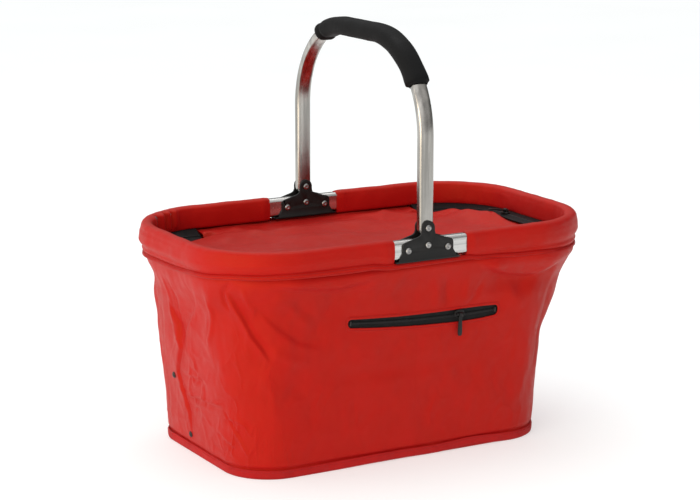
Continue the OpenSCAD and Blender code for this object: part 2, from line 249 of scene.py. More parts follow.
def bevel(obj, width, segments, angle):
    """Rounds the edges that are sharper than angle, by width in mm."""
    m = obj.modifiers.new("bevel", "BEVEL")
    m.width = width * MM
    m.segments = segments
    m.limit_method = "ANGLE"
    m.angle_limit = math.radians(angle)
    m.harden_normals = False
    return apply_modifiers(obj)


def smooth_by_angle(obj, angle):
    """Smooth shading that keeps edges sharper than angle."""
    mesh = bmesh.new()
    mesh.from_mesh(obj.data)
    limit = math.radians(angle)
    for face in mesh.faces:
        face.smooth = True
    for edge in mesh.edges:
        edge.smooth = len(edge.link_faces) == 2 and edge.calc_face_angle(0) < limit
    mesh.to_mesh(obj.data)
    mesh.free()
    return obj


def join_parts(name, parts, material):
    """One object from several (points, faces) lists."""
    points, faces, count = [], [], 0
    for p, f in parts:
        points.append(np.asarray(p, float))
        faces += [tuple(i + count for i in face) for face in f]
        count += len(p)
    return new_object(name, np.concatenate(points), faces, material)


def lathe(profile, steps=32):
    """Points and faces of a profile of (radius, height) turned about Z, closed at radius 0."""
    points, faces = [], []
    for radius, height in profile:
        for i in range(steps):
            a = 2 * math.pi * i / steps
            points.append((radius * math.cos(a), radius * math.sin(a), height))
    for r in range(len(profile) - 1):
        for i in range(steps):
            j = (i + 1) % steps
            faces.append((r * steps + i, r * steps + j, (r + 1) * steps + j, (r + 1) * steps + i))
    faces.append(tuple(reversed(range(steps))))
    faces.append(tuple(range((len(profile) - 1) * steps, len(profile) * steps)))
    return np.array(points), faces


def placed(part, matrix):
    """(points, faces) moved by a matrix."""
    points, faces = part
    m = np.array(matrix)
    return points @ m[:3, :3].T + m[:3, 3], faces


def facing(direction, at):
    """Matrix that stands +Z along direction at a point."""
    m = Vector(direction).to_track_quat("Z", "Y").to_matrix().to_4x4()
    m.translation = Vector(at)
    return m


def stood_at(at, along, values):
    """The (x, y, z) values at a length along a path."""
    return np.array([np.interp(at, along, values[:, i]) for i in range(3)])


def rod_faces(rings):
    """Faces of a closed six-sided rod with that many rings of points."""
    faces = [(r * 6 + i, r * 6 + (i + 1) % 6, r * 6 + 6 + (i + 1) % 6, r * 6 + 6 + i)
             for r in range(rings - 1) for i in range(6)]
    return faces + [tuple(reversed(range(6))), tuple(range(6 * rings - 6, 6 * rings))]


def stitch_row(name, path, normals, material, length=2.6, gap=1.2, width=0.55, proud=0.25):
    """Row of thread stitches along a path of points, lying on a surface with those normals."""
    _, along = running(path)
    section = [(math.cos(a), math.sin(a)) for a in np.linspace(0, 2 * math.pi, 6, endpoint=False)]
    parts = []
    for start in np.arange(0, along[-1] - length, length + gap):
        rings = []
        for share, size, lift in ((0, 0.45, -0.5), (0.25, 1, 0.6), (0.75, 1, 0.6), (1, 0.45, -0.5)):
            at = start + share * length
            p, n = stood_at(at, along, path), stood_at(at, along, normals)
            n /= np.linalg.norm(n)
            t = stood_at(at + 0.3, along, path) - p
            side = np.cross(n, t / (np.linalg.norm(t) + 1e-9))
            middle = p + n * lift * proud
            rings += [middle + side * a * width / 2 * size + n * b * width / 2 * size
                      for a, b in section]
        parts.append((np.array(rings), rod_faces(4)))
    return join_parts(name, parts, material)


# ---------------------------------------------------------------- materials


def srgb(r, g, b):
    """Linear colour of 0-255 screen values."""
    return tuple(c / 255 / 12.92 if c <= 10 else ((c / 255 + 0.055) / 1.055) ** 2.4
                 for c in (r, g, b)) + (1.0,)


def grey(value):
    """Opaque neutral colour."""
    return (value, value, value, 1)


class Shader:
    """A node material, built one named node at a time."""

    def __init__(self, name, roughness, metallic=0.0):
        self.material = bpy.data.materials.new(name)
        self.material.use_nodes = True
        self.tree = self.material.node_tree
        self.bsdf = next(n for n in self.tree.nodes if n.type == "BSDF_PRINCIPLED")
        self.bsdf.inputs["Roughness"].default_value = roughness
        self.bsdf.inputs["Metallic"].default_value = metallic

    def add(self, kind, links=(), **values):
        node = self.tree.nodes.new(kind)
        for key, value in values.items():
            if hasattr(node, key):
                setattr(node, key, value)
            else:
                node.inputs[key.replace("_", " ")].default_value = value
        for socket, source in links:
            self.tree.links.new(source, node.inputs[socket])
        return node

    def place(self, kind):
        """Coordinates: UV in metres of cloth, or Object in metres of the frame."""
        return self.add("ShaderNodeTexCoord").outputs[kind]

    def scaled(self, vector, scale):
        return self.add("ShaderNodeMapping", [("Vector", vector)], Scale=scale).outputs[0]

    def noise(self, vector, scale, detail=3.0, roughness=0.5):
        return self.add("ShaderNodeTexNoise", [("Vector", vector)], Scale=scale, Detail=detail,
                        Roughness=roughness).outputs["Fac"]

    def ramp(self, value, low, high, a=(0, 0, 0, 1), b=(1, 1, 1, 1)):
        node = self.add("ShaderNodeValToRGB", [("Fac", value)])
        node.color_ramp.elements[0].position, node.color_ramp.elements[1].position = low, high
        node.color_ramp.elements[0].color, node.color_ramp.elements[1].color = a, b
        return node.outputs["Color"]

    def math(self, operation, a, b):
        node = self.add("ShaderNodeMath", operation=operation)
        for socket, value in enumerate((a, b)):
            if isinstance(value, (int, float)):
                node.inputs[socket].default_value = value
            else:
                self.tree.links.new(value, node.inputs[socket])
        return node.outputs[0]

    def waves(self, vector, axis, pitch):
        """Ridges across axis, one every pitch mm."""
        return self.add("ShaderNodeTexWave", [("Vector", vector)], wave_type="BANDS",
                        bands_direction=axis, wave_profile="SIN",
                        Scale=2 * math.pi / 20 / pitch / MM).outputs["Fac"]

    def bump(self, height, distance, strength=1.0, normal=None):
        node = self.add("ShaderNodeBump", [("Height", height)], Strength=strength,
                        Distance=distance * MM)
        if normal is not None:
            self.tree.links.new(normal, node.inputs["Normal"])
        return node.outputs["Normal"]

    def set(self, **values):
        """Constants on the surface's own sockets."""
        for name, value in values.items():
            self.bsdf.inputs[name.replace("_", " ")].default_value = value

    def connect(self, **sockets):
        for name, source in sockets.items():
            self.tree.links.new(source, self.bsdf.inputs[name.replace("_", " ")])
        return self.material


def cloth_material(name, dark, light, pitch=1.1, weave=0.16):
    """Coated plain weave: warp and weft threads, soft mottling and a faint orange sheen."""
    m = Shader(name, 0.62)
    at = m.place("UV")
    threads = m.math("MULTIPLY", m.waves(at, "X", pitch), m.waves(at, "Y", pitch))
    slub = m.noise(m.scaled(at, (1, 14, 1)), 130)
    cloud = m.noise(at, 14, 5, 0.6)
    worn = m.noise(at, 60, 4, 0.65)
    shade = m.math("ADD", m.math("MULTIPLY", cloud, 0.62), m.math("MULTIPLY", worn, 0.38))
    colour = m.ramp(shade, 0.3, 0.72, dark, light)
    tint = m.add("ShaderNodeMix", [("Factor", m.math("MULTIPLY", threads, 0.35))], data_type="RGBA",
                 blend_type="MIX")
    m.tree.links.new(colour, tint.inputs["A"])
    tint.inputs["B"].default_value = tuple(min(1, c * 1.28) for c in light[:3]) + (1,)
    rough = m.ramp(worn, 0.25, 0.75, grey(0.44), grey(0.60))
    fine = m.bump(m.math("ADD", threads, m.math("MULTIPLY", slub, 0.5)), weave)
    crinkle = m.bump(m.noise(at, 38, 4, 0.55), 1.1, 0.45, fine)
    m.set(Sheen_Weight=0.03, Sheen_Roughness=0.45, Sheen_Tint=(1.0, 0.42, 0.22, 1),
          Specular_IOR_Level=0.48, Specular_Tint=(1.0, 0.40, 0.14, 1))
    return m.connect(Base_Color=tint.outputs["Result"], Roughness=rough, Normal=crinkle)


def ribbed_material(name, dark, light, pitch, depth=0.25):
    """Woven tape with ribs across it."""
    m = Shader(name, 0.6)
    m.set(Specular_IOR_Level=0.22)
    at = m.place("UV")
    ribs = m.waves(at, "X", pitch)
    colour = m.ramp(m.math("ADD", m.math("MULTIPLY", ribs, 0.5),
                           m.math("MULTIPLY", m.noise(at, 45, 4), 0.5)), 0.25, 0.8, dark, light)
    rough = m.ramp(m.noise(at, 120, 2), 0.3, 0.7, grey(0.52), grey(0.7))
    return m.connect(Base_Color=colour, Roughness=rough, Normal=m.bump(ribs, depth))


def metal_material(name, colour, roughness, stretch, grain=0.035):
    """Drawn aluminium: fine lines along the tube, handled patches, small pits and broad painted
    reflection bands along it.
    """
    m = Shader(name, roughness, 1.0)
    at = m.place("Object")
    lines = m.noise(m.scaled(at, stretch), 900, 3, 0.6)
    patches = m.noise(at, 22, 4, 0.6)
    pits = m.noise(at, 420, 2, 0.4)
    # painted reflections: broad lighter and darker streaks stretched along the tube stand in for
    # mirrored surroundings
    painted_reflection_bands = m.noise(m.scaled(at, stretch), 170, 1.5, 0.4)
    shade = tuple(c * 0.55 for c in colour[:3]) + (1,)
    mottle = m.math("ADD", m.math("MULTIPLY", lines, 0.2), m.math("MULTIPLY", patches, 0.25))
    tone_and_painted_reflections = m.ramp(m.math("ADD", m.math("MULTIPLY", painted_reflection_bands, 0.55), mottle), 0.40, 0.62, shade, colour)
    rough = m.ramp(patches, 0.3, 0.7, grey(roughness - 0.05), grey(roughness + 0.10))
    height = m.math("ADD", lines, m.math("MULTIPLY", pits, 0.4))
    return m.connect(Base_Color=tone_and_painted_reflections, Roughness=rough, Normal=m.bump(height, grain))


def painted_material(name, dark, light, roughness, grain=0.05, scale=700):
    """Satin powder coat: orange-peel grain, rubbed patches a little lighter."""
    m = Shader(name, roughness)
    at = m.place("Object")
    peel = m.noise(at, scale, 2, 0.5)
    rubbed = m.noise(at, 90, 5, 0.65)
    colour = m.ramp(rubbed, 0.45, 0.8, dark, light)
    rough = m.ramp(rubbed, 0.35, 0.75, grey(roughness), grey(roughness + 0.16))
    m.set(Specular_IOR_Level=0.3, Coat_Weight=0.06, Coat_Roughness=0.3)
    return m.connect(Base_Color=colour, Roughness=rough, Normal=m.bump(peel, grain))


def foam_material():
    """Closed-cell foam: fine pores with a soft skin, greyer where it is handled."""
    m = Shader("foam", 0.72)
    at = m.place("Object")
    pores = m.add("ShaderNodeTexVoronoi", [("Vector", at)], Scale=900.0).outputs["Distance"]
    skin = m.noise(at, 260, 4, 0.6)
    handled = m.noise(at, 30, 4, 0.6)
    colour = m.ramp(handled, 0.35, 0.75, srgb(9, 9, 10), srgb(17, 17, 18))
    rough = m.ramp(handled, 0.3, 0.7, grey(0.6), grey(0.8))
    height = m.math("ADD", m.math("MULTIPLY", pores, 0.6), m.math("MULTIPLY", skin, 0.8))
    m.set(Specular_IOR_Level=0.15)
    return m.connect(Base_Color=colour, Roughness=rough, Normal=m.bump(height, 0.35, 0.8))


def board_material():
    """Grey pressed board with a mottled fibre surface."""
    m = Shader("base_board", 0.8)
    at = m.place("Object")
    fibre = m.noise(m.scaled(at, (1, 3, 1)), 160, 6, 0.7)
    colour = m.ramp(fibre, 0.35, 0.7, srgb(84, 82, 80), srgb(118, 116, 112))
    return m.connect(Base_Color=colour, Normal=m.bump(fibre, 0.3))


RED = cloth_material("red_cloth", srgb(160, 2, 11), srgb(175, 5, 16))
RED_BINDING = ribbed_material("red_binding", srgb(156, 9, 10), srgb(188, 20, 16), 1.3)
RED_THREAD = painted_material("red_thread", srgb(150, 14, 16), srgb(186, 36, 32), 0.55, 0.04, 1500)
LINING = cloth_material("lining", srgb(150, 20, 22), srgb(176, 34, 32), pitch=0.8, weave=0.08)
TAPE = ribbed_material("zip_tape", srgb(7, 8, 8), srgb(20, 21, 22), 0.9, depth=0.18)
COIL = painted_material("zip_coil", srgb(12, 12, 13), srgb(30, 30, 32), 0.36, 0.02)
ALUMINIUM = metal_material("aluminium", (0.55, 0.525, 0.49, 1), 0.2, (1, 1, 0.03))
RIM_ALUMINIUM = metal_material("rim_aluminium", (0.72, 0.71, 0.69, 1), 0.22, (0.03, 1, 1))
PLATE = painted_material("black_plate", srgb(12, 11, 10), srgb(24, 21, 19), 0.4)
RIVET = metal_material("rivet", (0.42, 0.41, 0.40, 1), 0.3, (1, 1, 1), 0.02)
SLIDER = painted_material("slider_metal", srgb(12, 12, 12), srgb(30, 29, 28), 0.34, 0.03)
STUD = painted_material("stud_metal", srgb(30, 26, 25), srgb(62, 56, 52), 0.34, 0.03)
PLUG = painted_material("black_plastic", srgb(20, 20, 20), srgb(34, 34, 34), 0.5)
FOAM = foam_material()
BOARD = board_material()


def finish(obj, body, slot, *nodes):
    """A piece rides on its body and stands for CAD nodes, which it hides; slot is not used."""
    if body:
        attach(obj, body)
    if nodes:
        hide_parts(*nodes)
    return obj


def repaint(node, material):
    """Gives a CAD node a procedural material."""
    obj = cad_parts[node]
    for used in obj.material_slots:
        used.material = material
    if not obj.material_slots:
        obj.data.materials.append(material)


# ---------------------------------------------------------------- heights along the rim


def seam_z(s):
    """Height of the sleeve's lower seam: low at both ends, tight under the tube at the front."""
    return around(s, (-430, 219.0), (-332, 220.5), (-262, 224.5), (-214, 227.6), (-150, 229.2),
                  (-70, 229.2), (-44, FOOT_Z - 0.7), (52, FOOT_Z - 0.7), (72, 224.4), (130, 222.0),
                  (214, 218.6), (332, 216.5), (450, 221.0), (560, 225.5), (610, FOOT_Z - 0.9),
                  (664, FOOT_Z - 0.9), (-610, FOOT_Z - 0.9), (-560, 225.5))


def band_h(s):
    """Height of the stitched band under the sleeve's seam."""
    return around(s, (-332, 3.6), (-214, 4.6), (-100, 6.0), (-40, 5.2), (60, 4.2), (214, 3.6),
                  (332, 3.4), (664, 4.5))


def tuck(s):
    """How far the wall goes in under the band."""
    return around(s, (-332, 0.9), (-240, 1.2), (-170, 3.4), (-60, 4.8), (20, 3.4), (90, 1.6),
                  (214, 1.2), (332, 1.0), (664, 2.0))


# ---------------------------------------------------------------- wall


def wall_stations():
    """Rows of (z, left, right, half width, corner radius) of the walls' outer face."""
    rows = []
    for node, proud in (("lower_wall", 1.8), ("upper_wall", 0.0)):
        points = node_points(node)
        for z in sorted({round(v, 2) for v in points[:, 2]}):
            level = points[abs(points[:, 2] - z) < 0.02]
            if len(level) < 40:
                continue
            half = level[:, 1].max()
            flat = level[level[:, 1] > half - 0.01, 0].max()
            left, right = level[:, 0].min(), level[:, 0].max()
            rows.append((z, left - proud, right + proud, half + proud, right - flat + proud))
    rows = [r for i, r in enumerate(rows) if i == 0 or r[0] - rows[i - 1][0] > 1.0]
    return np.array(rows)


STATIONS = wall_stations()


def station(z):
    """Outline of the wall at height z, smooth between the stations."""
    z = min(max(z, STATIONS[0, 0]), STATIONS[-1, 0])
    k = int(np.clip(np.searchsorted(STATIONS[:, 0], z) - 1, 0, len(STATIONS) - 2))
    a, b = STATIONS[k], STATIONS[k + 1]
    before, after = STATIONS[max(k - 1, 0)], STATIONS[min(k + 2, len(STATIONS) - 1)]
    h = b[0] - a[0]
    t = (z - a[0]) / h
    slope_a = (b - before)[1:] / max(b[0] - before[0], 1) * h
    slope_b = (after - a)[1:] / max(after[0] - a[0], 1) * h
    return ((2 * t**3 - 3 * t**2 + 1) * a[1:] + (t**3 - 2 * t**2 + t) * slope_a
            + (3 * t**2 - 2 * t**3) * b[1:] + (t**3 - t**2) * slope_b)


def fold(s, z, path, width, height, kind):
    """Relief of one fold that runs along a path of (s, z) points and dies out at its ends.
    A ridge stands out, a step is out on its left side and in on its right."""
    path = np.array(path, float)
    steps, along = running(path)
    best = np.full(s.shape, 1e9)
    side, share = np.zeros(s.shape), np.zeros(s.shape)
    for k in range(len(path) - 1):
        a, b = path[k], path[k + 1]
        d = (b - a) / steps[k]
        t = np.clip((s - a[0]) * d[0] + (z - a[1]) * d[1], 0, steps[k])
        away_s, away_z = s - a[0] - t * d[0], z - a[1] - t * d[1]
        distance = np.hypot(away_s, away_z)
        near = distance < best
        best = np.where(near, distance, best)
        side = np.where(near, np.sign(d[0] * away_z - d[1] * away_s), side)
        share = np.where(near, (along[k] + t) / along[-1], share)
    fade = smooth(np.clip(np.minimum(share, 1 - share) / 0.25, 0, 1))
    x = best * side / width
    if kind == "ridge":
        relief = np.exp(-(x**2))
    else:
        relief = np.tanh(2.2 * x) * np.exp(-((x / 2.6) ** 2))
    return height * fade * relief


def over_wall(s, z, size, value):
    """value(x, y, z) at each place of the wall; x and y go round a circle, size mm to the unit."""
    angle = 2 * math.pi * s / LOOP
    radius = LOOP / (2 * math.pi) / size
    out = np.empty(s.shape)
    flat = out.ravel()
    for i, (a, h) in enumerate(zip(angle.ravel(), z.ravel())):
        flat[i] = value(radius * math.cos(a), radius * math.sin(a), h)
    return out


def cloud_noise(s, z, scale_s, scale_z, seed):
    """Smooth noise over the wall, periodic along s."""
    return over_wall(s, z, scale_s, lambda x, y, h: noise.noise(
        Vector((x + seed, y - seed, h / scale_z + 0.7 * seed))))


def crease_net(s, z, size, seed):
    """Fine sharp creases of stiff coated cloth: the ridges between cells of that size in mm."""

    def crease(x, y, h):
        at = Vector((x, y + seed, 0.75 * h / size))
        bend = 0.35 * noise.noise(at * 1.7)
        near = noise.voronoi(at + Vector((bend, -bend, bend)))[0]
        worth = max(0.0, noise.noise(at * 0.8 + Vector((5, 5, 5))) + 0.35)
        return 1.3 * worth * math.exp(-(((near[1] - near[0]) / 0.09) ** 2))

    return over_wall(s, z, size, crease)


SNAPPED = ((-372, 192), (-356, 165), (-344, 150), (-341, 122), (-356, 92), (-352, 76), (-341, 48),
           (-340, 24), (-341, 10))


def wall_relief(s, z):
    """Outward relief of the wall in mm: named folds, then soft irregular ones."""
    x = signed(s)
    relief = np.zeros(s.shape)
    for path, width, height, kind in (
        # left end: the snapped seam with its overlap, and the pulls beside it
        (SNAPPED, 1.3, -2.0, "ridge"),
        (SNAPPED, 4.5, -1.5, "step"),
        (((-366, 208), (-357, 162), (-342, 118)), 4.0, 2.4, "ridge"),
        (((-352, 206), (-343, 160), (-334, 120)), 4.0, -2.0, "ridge"),
        (((-284, 206), (-306, 176), (-328, 148), (-336, 128)), 4.5, 2.0, "step"),
        (((-264, 205), (-262, 180), (-270, 158), (-288, 135)), 4.0, 2.0, "ridge"),
        (((-352, 66), (-320, 71), (-296, 73), (-262, 77)), 1.9, 1.9, "step"),
        (((-336, 69), (-306, 75), (-280, 80), (-254, 86)), 1.8, -1.3, "ridge"),
        (((-350, 92), (-316, 95), (-298, 95)), 1.9, 1.3, "step"),
        (((-322, 106), (-306, 98), (-294, 94)), 1.8, 1.1, "step"),
        (((-346, 58), (-318, 60), (-292, 62)), 2.0, -1.0, "ridge"),
        (((-268, 74), (-250, 60), (-228, 44)), 2.2, -1.3, "ridge"),
        (((-268, 62), (-246, 62), (-226, 60)), 2.0, 1.0, "step"),
        (((-294, 45), (-268, 38), (-242, 31)), 2.4, 1.2, "step"),
        (((-310, 26), (-280, 22), (-250, 28)), 3.0, -1.0, "ridge"),
        # fold that falls from the front left corner, with the notch above it
        (((-232, 214), (-228, 205), (-220, 188), (-204, 160), (-190, 145), (-176, 128)),
         3.0, -2.3, "step"),
        (((-222, 222), (-234, 208), (-235, 196), (-230, 184)), 3.0, -2.2, "ridge"),
        (((-214, 216), (-205, 198), (-196, 184)), 3.5, 1.6, "ridge"),
        (((-246, 214), (-262, 188), (-284, 156), (-292, 132)), 7.0, 2.0, "ridge"),
        (((-180, 208), (-148, 188), (-118, 160)), 6.0, 1.6, "ridge"),
        (((-198, 192), (-170, 168), (-140, 150), (-108, 138)), 5.0, -1.3, "step"),
        (((-156, 202), (-120, 170), (-106, 130)), 6.5, -1.0, "ridge"),
        (((-186, 148), (-150, 132), (-118, 122)), 5.5, 1.5, "ridge"),
        (((-200, 120), (-176, 96), (-168, 60)), 8.0, 1.3, "ridge"),
        (((-150, 108), (-126, 84), (-120, 50)), 10.0, -0.9, "ridge"),
        # lobe of cloth that hangs over under the left sleeve
        (((-184, 217), (-150, 211), (-104, 205), (-52, 211)), 4.5, 2.8, "step"),
        (((-120, 214), (-84, 204), (-44, 206)), 5.0, 1.4, "ridge"),
        # right front: hanging fold under the sleeve and soft pleats from the hinge
        (((58, 220), (80, 209), (100, 198), (124, 194), (148, 193), (170, 199), (192, 205)),
         4.5, 3.6, "step"),
        (((14, 214), (22, 186), (26, 146)), 6.0, 1.5, "ridge"),
        (((28, 212), (36, 178), (41, 140)), 4.5, -1.3, "ridge"),
        (((56, 210), (60, 174), (48, 138)), 5.0, 1.8, "ridge"),
        (((78, 200), (72, 178), (60, 156)), 4.0, -1.4, "ridge"),
        (((110, 192), (124, 172), (146, 154)), 6.5, 1.5, "ridge"),
        (((-30, 212), (-36, 190), (-30, 176)), 5.5, 1.2, "ridge"),
        (((188, 190), (202, 150), (208, 108), (196, 66)), 9.0, -2.6, "ridge"),
        (((166, 128), (174, 84), (160, 40)), 10.0, 1.8, "ridge"),
        (((-60, 120), (-30, 80), (10, 52)), 14.0, 1.1, "ridge"),
        (((60, 110), (84, 74), (90, 36)), 13.0, -1.0, "ridge"),
        # right end and rear, not seen in full
        (((250, 212), (286, 170), (306, 120)), 8.0, 2.0, "ridge"),
        (((372, 214), (350, 168), (346, 110)), 7.0, 2.0, "step"),
        (((330, 204), (326, 150), (334, 96)), 6.0, -1.5, "ridge"),
        (((356, 70), (322, 72), (292, 84)), 3.0, 1.4, "step"),
        (((440, 214), (470, 168), (508, 140)), 8.0, 2.2, "ridge"),
        (((560, 210), (590, 176), (640, 158)), 7.0, -2.0, "step"),
        (((600, 120), (640, 96), (664, 60)), 12.0, 1.3, "ridge"),
        (((-640, 204), (-606, 172), (-570, 158)), 7.0, 1.8, "ridge"),
        (((-470, 214), (-492, 172), (-530, 146)), 7.0, 2.2, "step"),
        (((-440, 208), (-426, 160), (-430, 112)), 8.0, 1.5, "ridge"),
        (((-560, 110), (-580, 76), (-600, 40)), 11.0, 1.4, "ridge"),
    ):
        relief += fold(x, z, path, width, height, kind)
    free = np.clip(z / 30, 0, 1) * np.clip((224 - z) / 20, 0, 1)
    high = 0.45 + 0.55 * np.clip((z - 70) / 90, 0, 1)
    # the cloth left of the snapped seam turns away, and the left end is waisted under the sleeve
    turned = np.clip((-352 - x) / 40, 0, 1) * np.clip((430 + x) / 40, 0, 1)
    relief -= 3.0 * turned * bump(z, 90, 80)
    relief -= 4.5 * bump(x, -418, 42) * bump(z, 192, 16)
    relief += 3.6 * bump(x, 240, 34) * bump(z, 162, 26) - 1.6 * bump(x, 240, 34) * bump(z, 118, 14)
    # the cloth bellies out under the sleeve on the right and hangs over the wall below
    relief += 4.5 * np.clip((x - 60) / 30, 0, 1) * np.clip((250 - x) / 40, 0, 1) * bump(z, 211, 9)
    relief -= 1.8 * bump(x, 130, 60) * bump(z, 184, 9)
    relief += free * (3.0 * cloud_noise(s, z, 75, 60, 2.3) * high
                      + 1.7 * cloud_noise(s, z, 26, 34, 7.9) * high
                      + 0.5 * cloud_noise(s, z, 11, 16, 12.1))
    crumpled = 0.25 + 0.75 * bump(x, -285, 95) * np.clip((190 - z) / 60, 0, 1)
    return relief + 1.4 * free * crumpled * crease_net(s, z, 30, 3.1)


POCKET_LOW, POCKET_HIGH = span("pocket_zip_tape")
POCKET_X = (POCKET_LOW[0] + POCKET_HIGH[0]) / 2
POCKET_Z = (POCKET_LOW[2] + POCKET_HIGH[2]) / 2
POCKET_FALL = math.radians(2)
WINDOW_HALF = 95.0
POCKET_SAG = 3.2


def window_half(along):
    """Half height of the pocket's opening: narrow at the left, gaping past the middle."""
    return np.interp(along, (-WINDOW_HALF, -60, -20, 20, 50, 75, WINDOW_HALF),
                     (4.3, 4.9, 5.6, 6.3, 6.8, 6.5, 5.2))


def pocket_sag(along):
    """How far the zip hangs below the straight line between its ends."""
    return POCKET_SAG * (1 - (along / WINDOW_HALF) ** 2)


def pocket_local(x, z):
    """Place along and across the pocket zip of a point of the front wall."""
    dx, dz = x - POCKET_X, z - POCKET_Z
    along = dx * math.cos(POCKET_FALL) - dz * math.sin(POCKET_FALL)
    across = dx * math.sin(POCKET_FALL) + dz * math.cos(POCKET_FALL)
    return along, across + pocket_sag(along)


def pocket_calm(x, y, z):
    """1 by the pocket zip, where the wall lies flat, and 0 away from it."""
    along, across = pocket_local(x, z)
    away = np.hypot(np.clip(np.abs(along) - WINDOW_HALF, 0, None),
                    np.clip(np.abs(across) - 8, 0, None))
    return np.where(y < 0, np.exp(-((away / 9) ** 2)), 0)


BINDING_H = span("base_binding")[1][2]


def wall_grid(s, height_shares):
    """Points of the wall's outer face, and the s and z of each."""
    top = seam_z(s) - band_h(s) + 2.6
    points = np.empty((len(height_shares), len(s), 3))
    ss, zz = np.empty(points.shape[:2]), np.empty(points.shape[:2])
    normals = np.empty((len(height_shares), len(s), 2))
    for r, share in enumerate(height_shares):
        z = 1.0 + (top - 1.0) * share
        zz[r], ss[r], points[r, :, 2] = z, s, z
        if np.ptp(z) < 0.05:
            points[r, :, :2], normals[r] = ring(s, *station(float(z.mean())))
            continue
        for level in np.unique(np.round(z, 1)):
            m = np.abs(z - level) <= 0.051
            points[r, m, :2], normals[r, m] = ring(s[m], *station(float(level)))
    relief = wall_relief(ss, zz) * (1 - pocket_calm(points[:, :, 0], points[:, :, 1], zz))
    # the fold passes behind the zip when the basket is folded down, so it stays flat there
    behind = pocket_calm(points[:, :, 0], points[:, :, 1], POCKET_Z) * bump(zz, FOLD_Z + 1, 9)
    relief = relief * (1 - behind) - 0.9 * behind
    below = np.clip((top[None, :] - 2.0 - zz), 0, None)
    relief -= (1.2 + tuck(ss)) * np.exp(-((below / 9.0) ** 1.5))
    relief -= 2.6 * bump(zz, BINDING_H + 1.1, 1.4)
    points[:, :, :2] += normals * relief[..., None]
    return points, ss, zz


def make_wall():
    """Wall of cloth with the pocket's window cut out; finest at the left and the front left."""
    s = np.concatenate([np.arange(0, 250, 2.0), np.arange(250, LOOP - 420, 3.6),
                        np.arange(LOOP - 420, LOOP - 170, 1.3),
                        np.arange(LOOP - 170, LOOP - 1, 1.9)])
    shares = np.concatenate([np.linspace(0, 0.07, 9)[:-1], np.linspace(0.07, 1, 98)])
    points, ss, zz = wall_grid(s, shares)
    flat = np.stack([ss, zz], -1)
    middle = (points[:-1] + points[1:]) / 2
    middle = (middle + np.roll(middle, -1, axis=1)) / 2
    along, across = pocket_local(middle[:, :, 0], middle[:, :, 2])
    window = (np.abs(along) < WINDOW_HALF + 1) & (np.abs(across) < window_half(along) + 1.2) \
        & (middle[:, :, 1] < 0)
    wall = grid_object("body_wall", points, flat, RED, closed=True, skip=window)
    return thicken(wall, 1.0)


# ---------------------------------------------------------------- sleeves and band on the rim

# The sleeve's outer side: heights beside the rim's middle line, and offsets from it
OUTER_H = np.array([9.0, 6.0, 3.0, 0.0, -3.5, -7.0, -9.5, -11.5, -13.2, -15.0, -17.2, -19.0,
                    -21.5])
OUTER_D = np.array([6.7, 7.3, 7.5, 7.6, 7.6, 7.3, 6.7, 5.8, 5.2, 5.7, 6.5, 6.4, 5.2])


def slack(s):
    """How loosely the sleeve hangs on its outer side: most at the rear left corner."""
    return around(s, (-520, 0.2), (-440, 0.7), (-390, 1.0), (-330, 0.6), (-290, 0.25), (-220, 0.35),
                  (-190, 0.55), (-130, 0.25), (-60, 0.0), (0, 0.0), (150, 0.1), (240, 0.55),
                  (300, 0.35), (400, 0.5), (470, 0.2), (664, 0.0))


def sleeve_section(seam, loose):
    """Closed section (d, h) of a sleeve whose outer seam lies at height h = seam below the rim.
    loose adds a belly below the tube and draws the seam in."""
    inner = [(-6.3 - 1.0 * math.sin(math.pi * t) ** 0.5, -13.2 + 21 * t)
             for t in np.linspace(0, 1, 11)]
    turn = [(0.15 - 6.5 * math.cos(a), 7.8 + 4.9 * math.sin(a) ** 0.8)
            for a in np.linspace(0.25, math.pi - 0.25, 11)]
    outer = []
    for h in np.linspace(8.2, seam, 22):
        d = float(np.interp(-h, -OUTER_H, OUTER_D))
        gathered = 3.9 + 1.25 * math.sqrt(max(h - seam, 0))
        belly = loose * (2.8 * bump(h, -7, 5) + 1.6 * bump(h, 2, 6) - 0.9 * bump(h, 5.5, 2.4))
        outer.append((min(d + belly, gathered + loose * (0.22 * (h - seam) - 1.0)), h))
    low = min(seam + 1.2, -11.9)
    closing = [(2.6, low), (-1.2, -12.6), (-4.8, -14.2)]
    return np.array(inner + turn + outer + closing)


def pleats(s):
    """Gathers of the sleeve's inner face at the tight rear left corner, weaker at the others."""
    x = signed(s)
    deep, cuts = (sum(a * bump(x, at, w) for at, a, w in rows) for rows in (
        ((-490, 2.6, 4.6), (-477, 3.4, 4.4), (-462, 3.9, 6.0), (-440, 1.3, 7.0)),
        ((-483.5, -2.2, 1.8), (-469.5, -2.6, 1.8), (-451, -3.0, 3.4))))
    slight = 0.5 * sum(bump(x, at, 6) for at in (230, 246, 264, 415, 436, 452, -216, -236, -254))
    return deep + cuts + slight


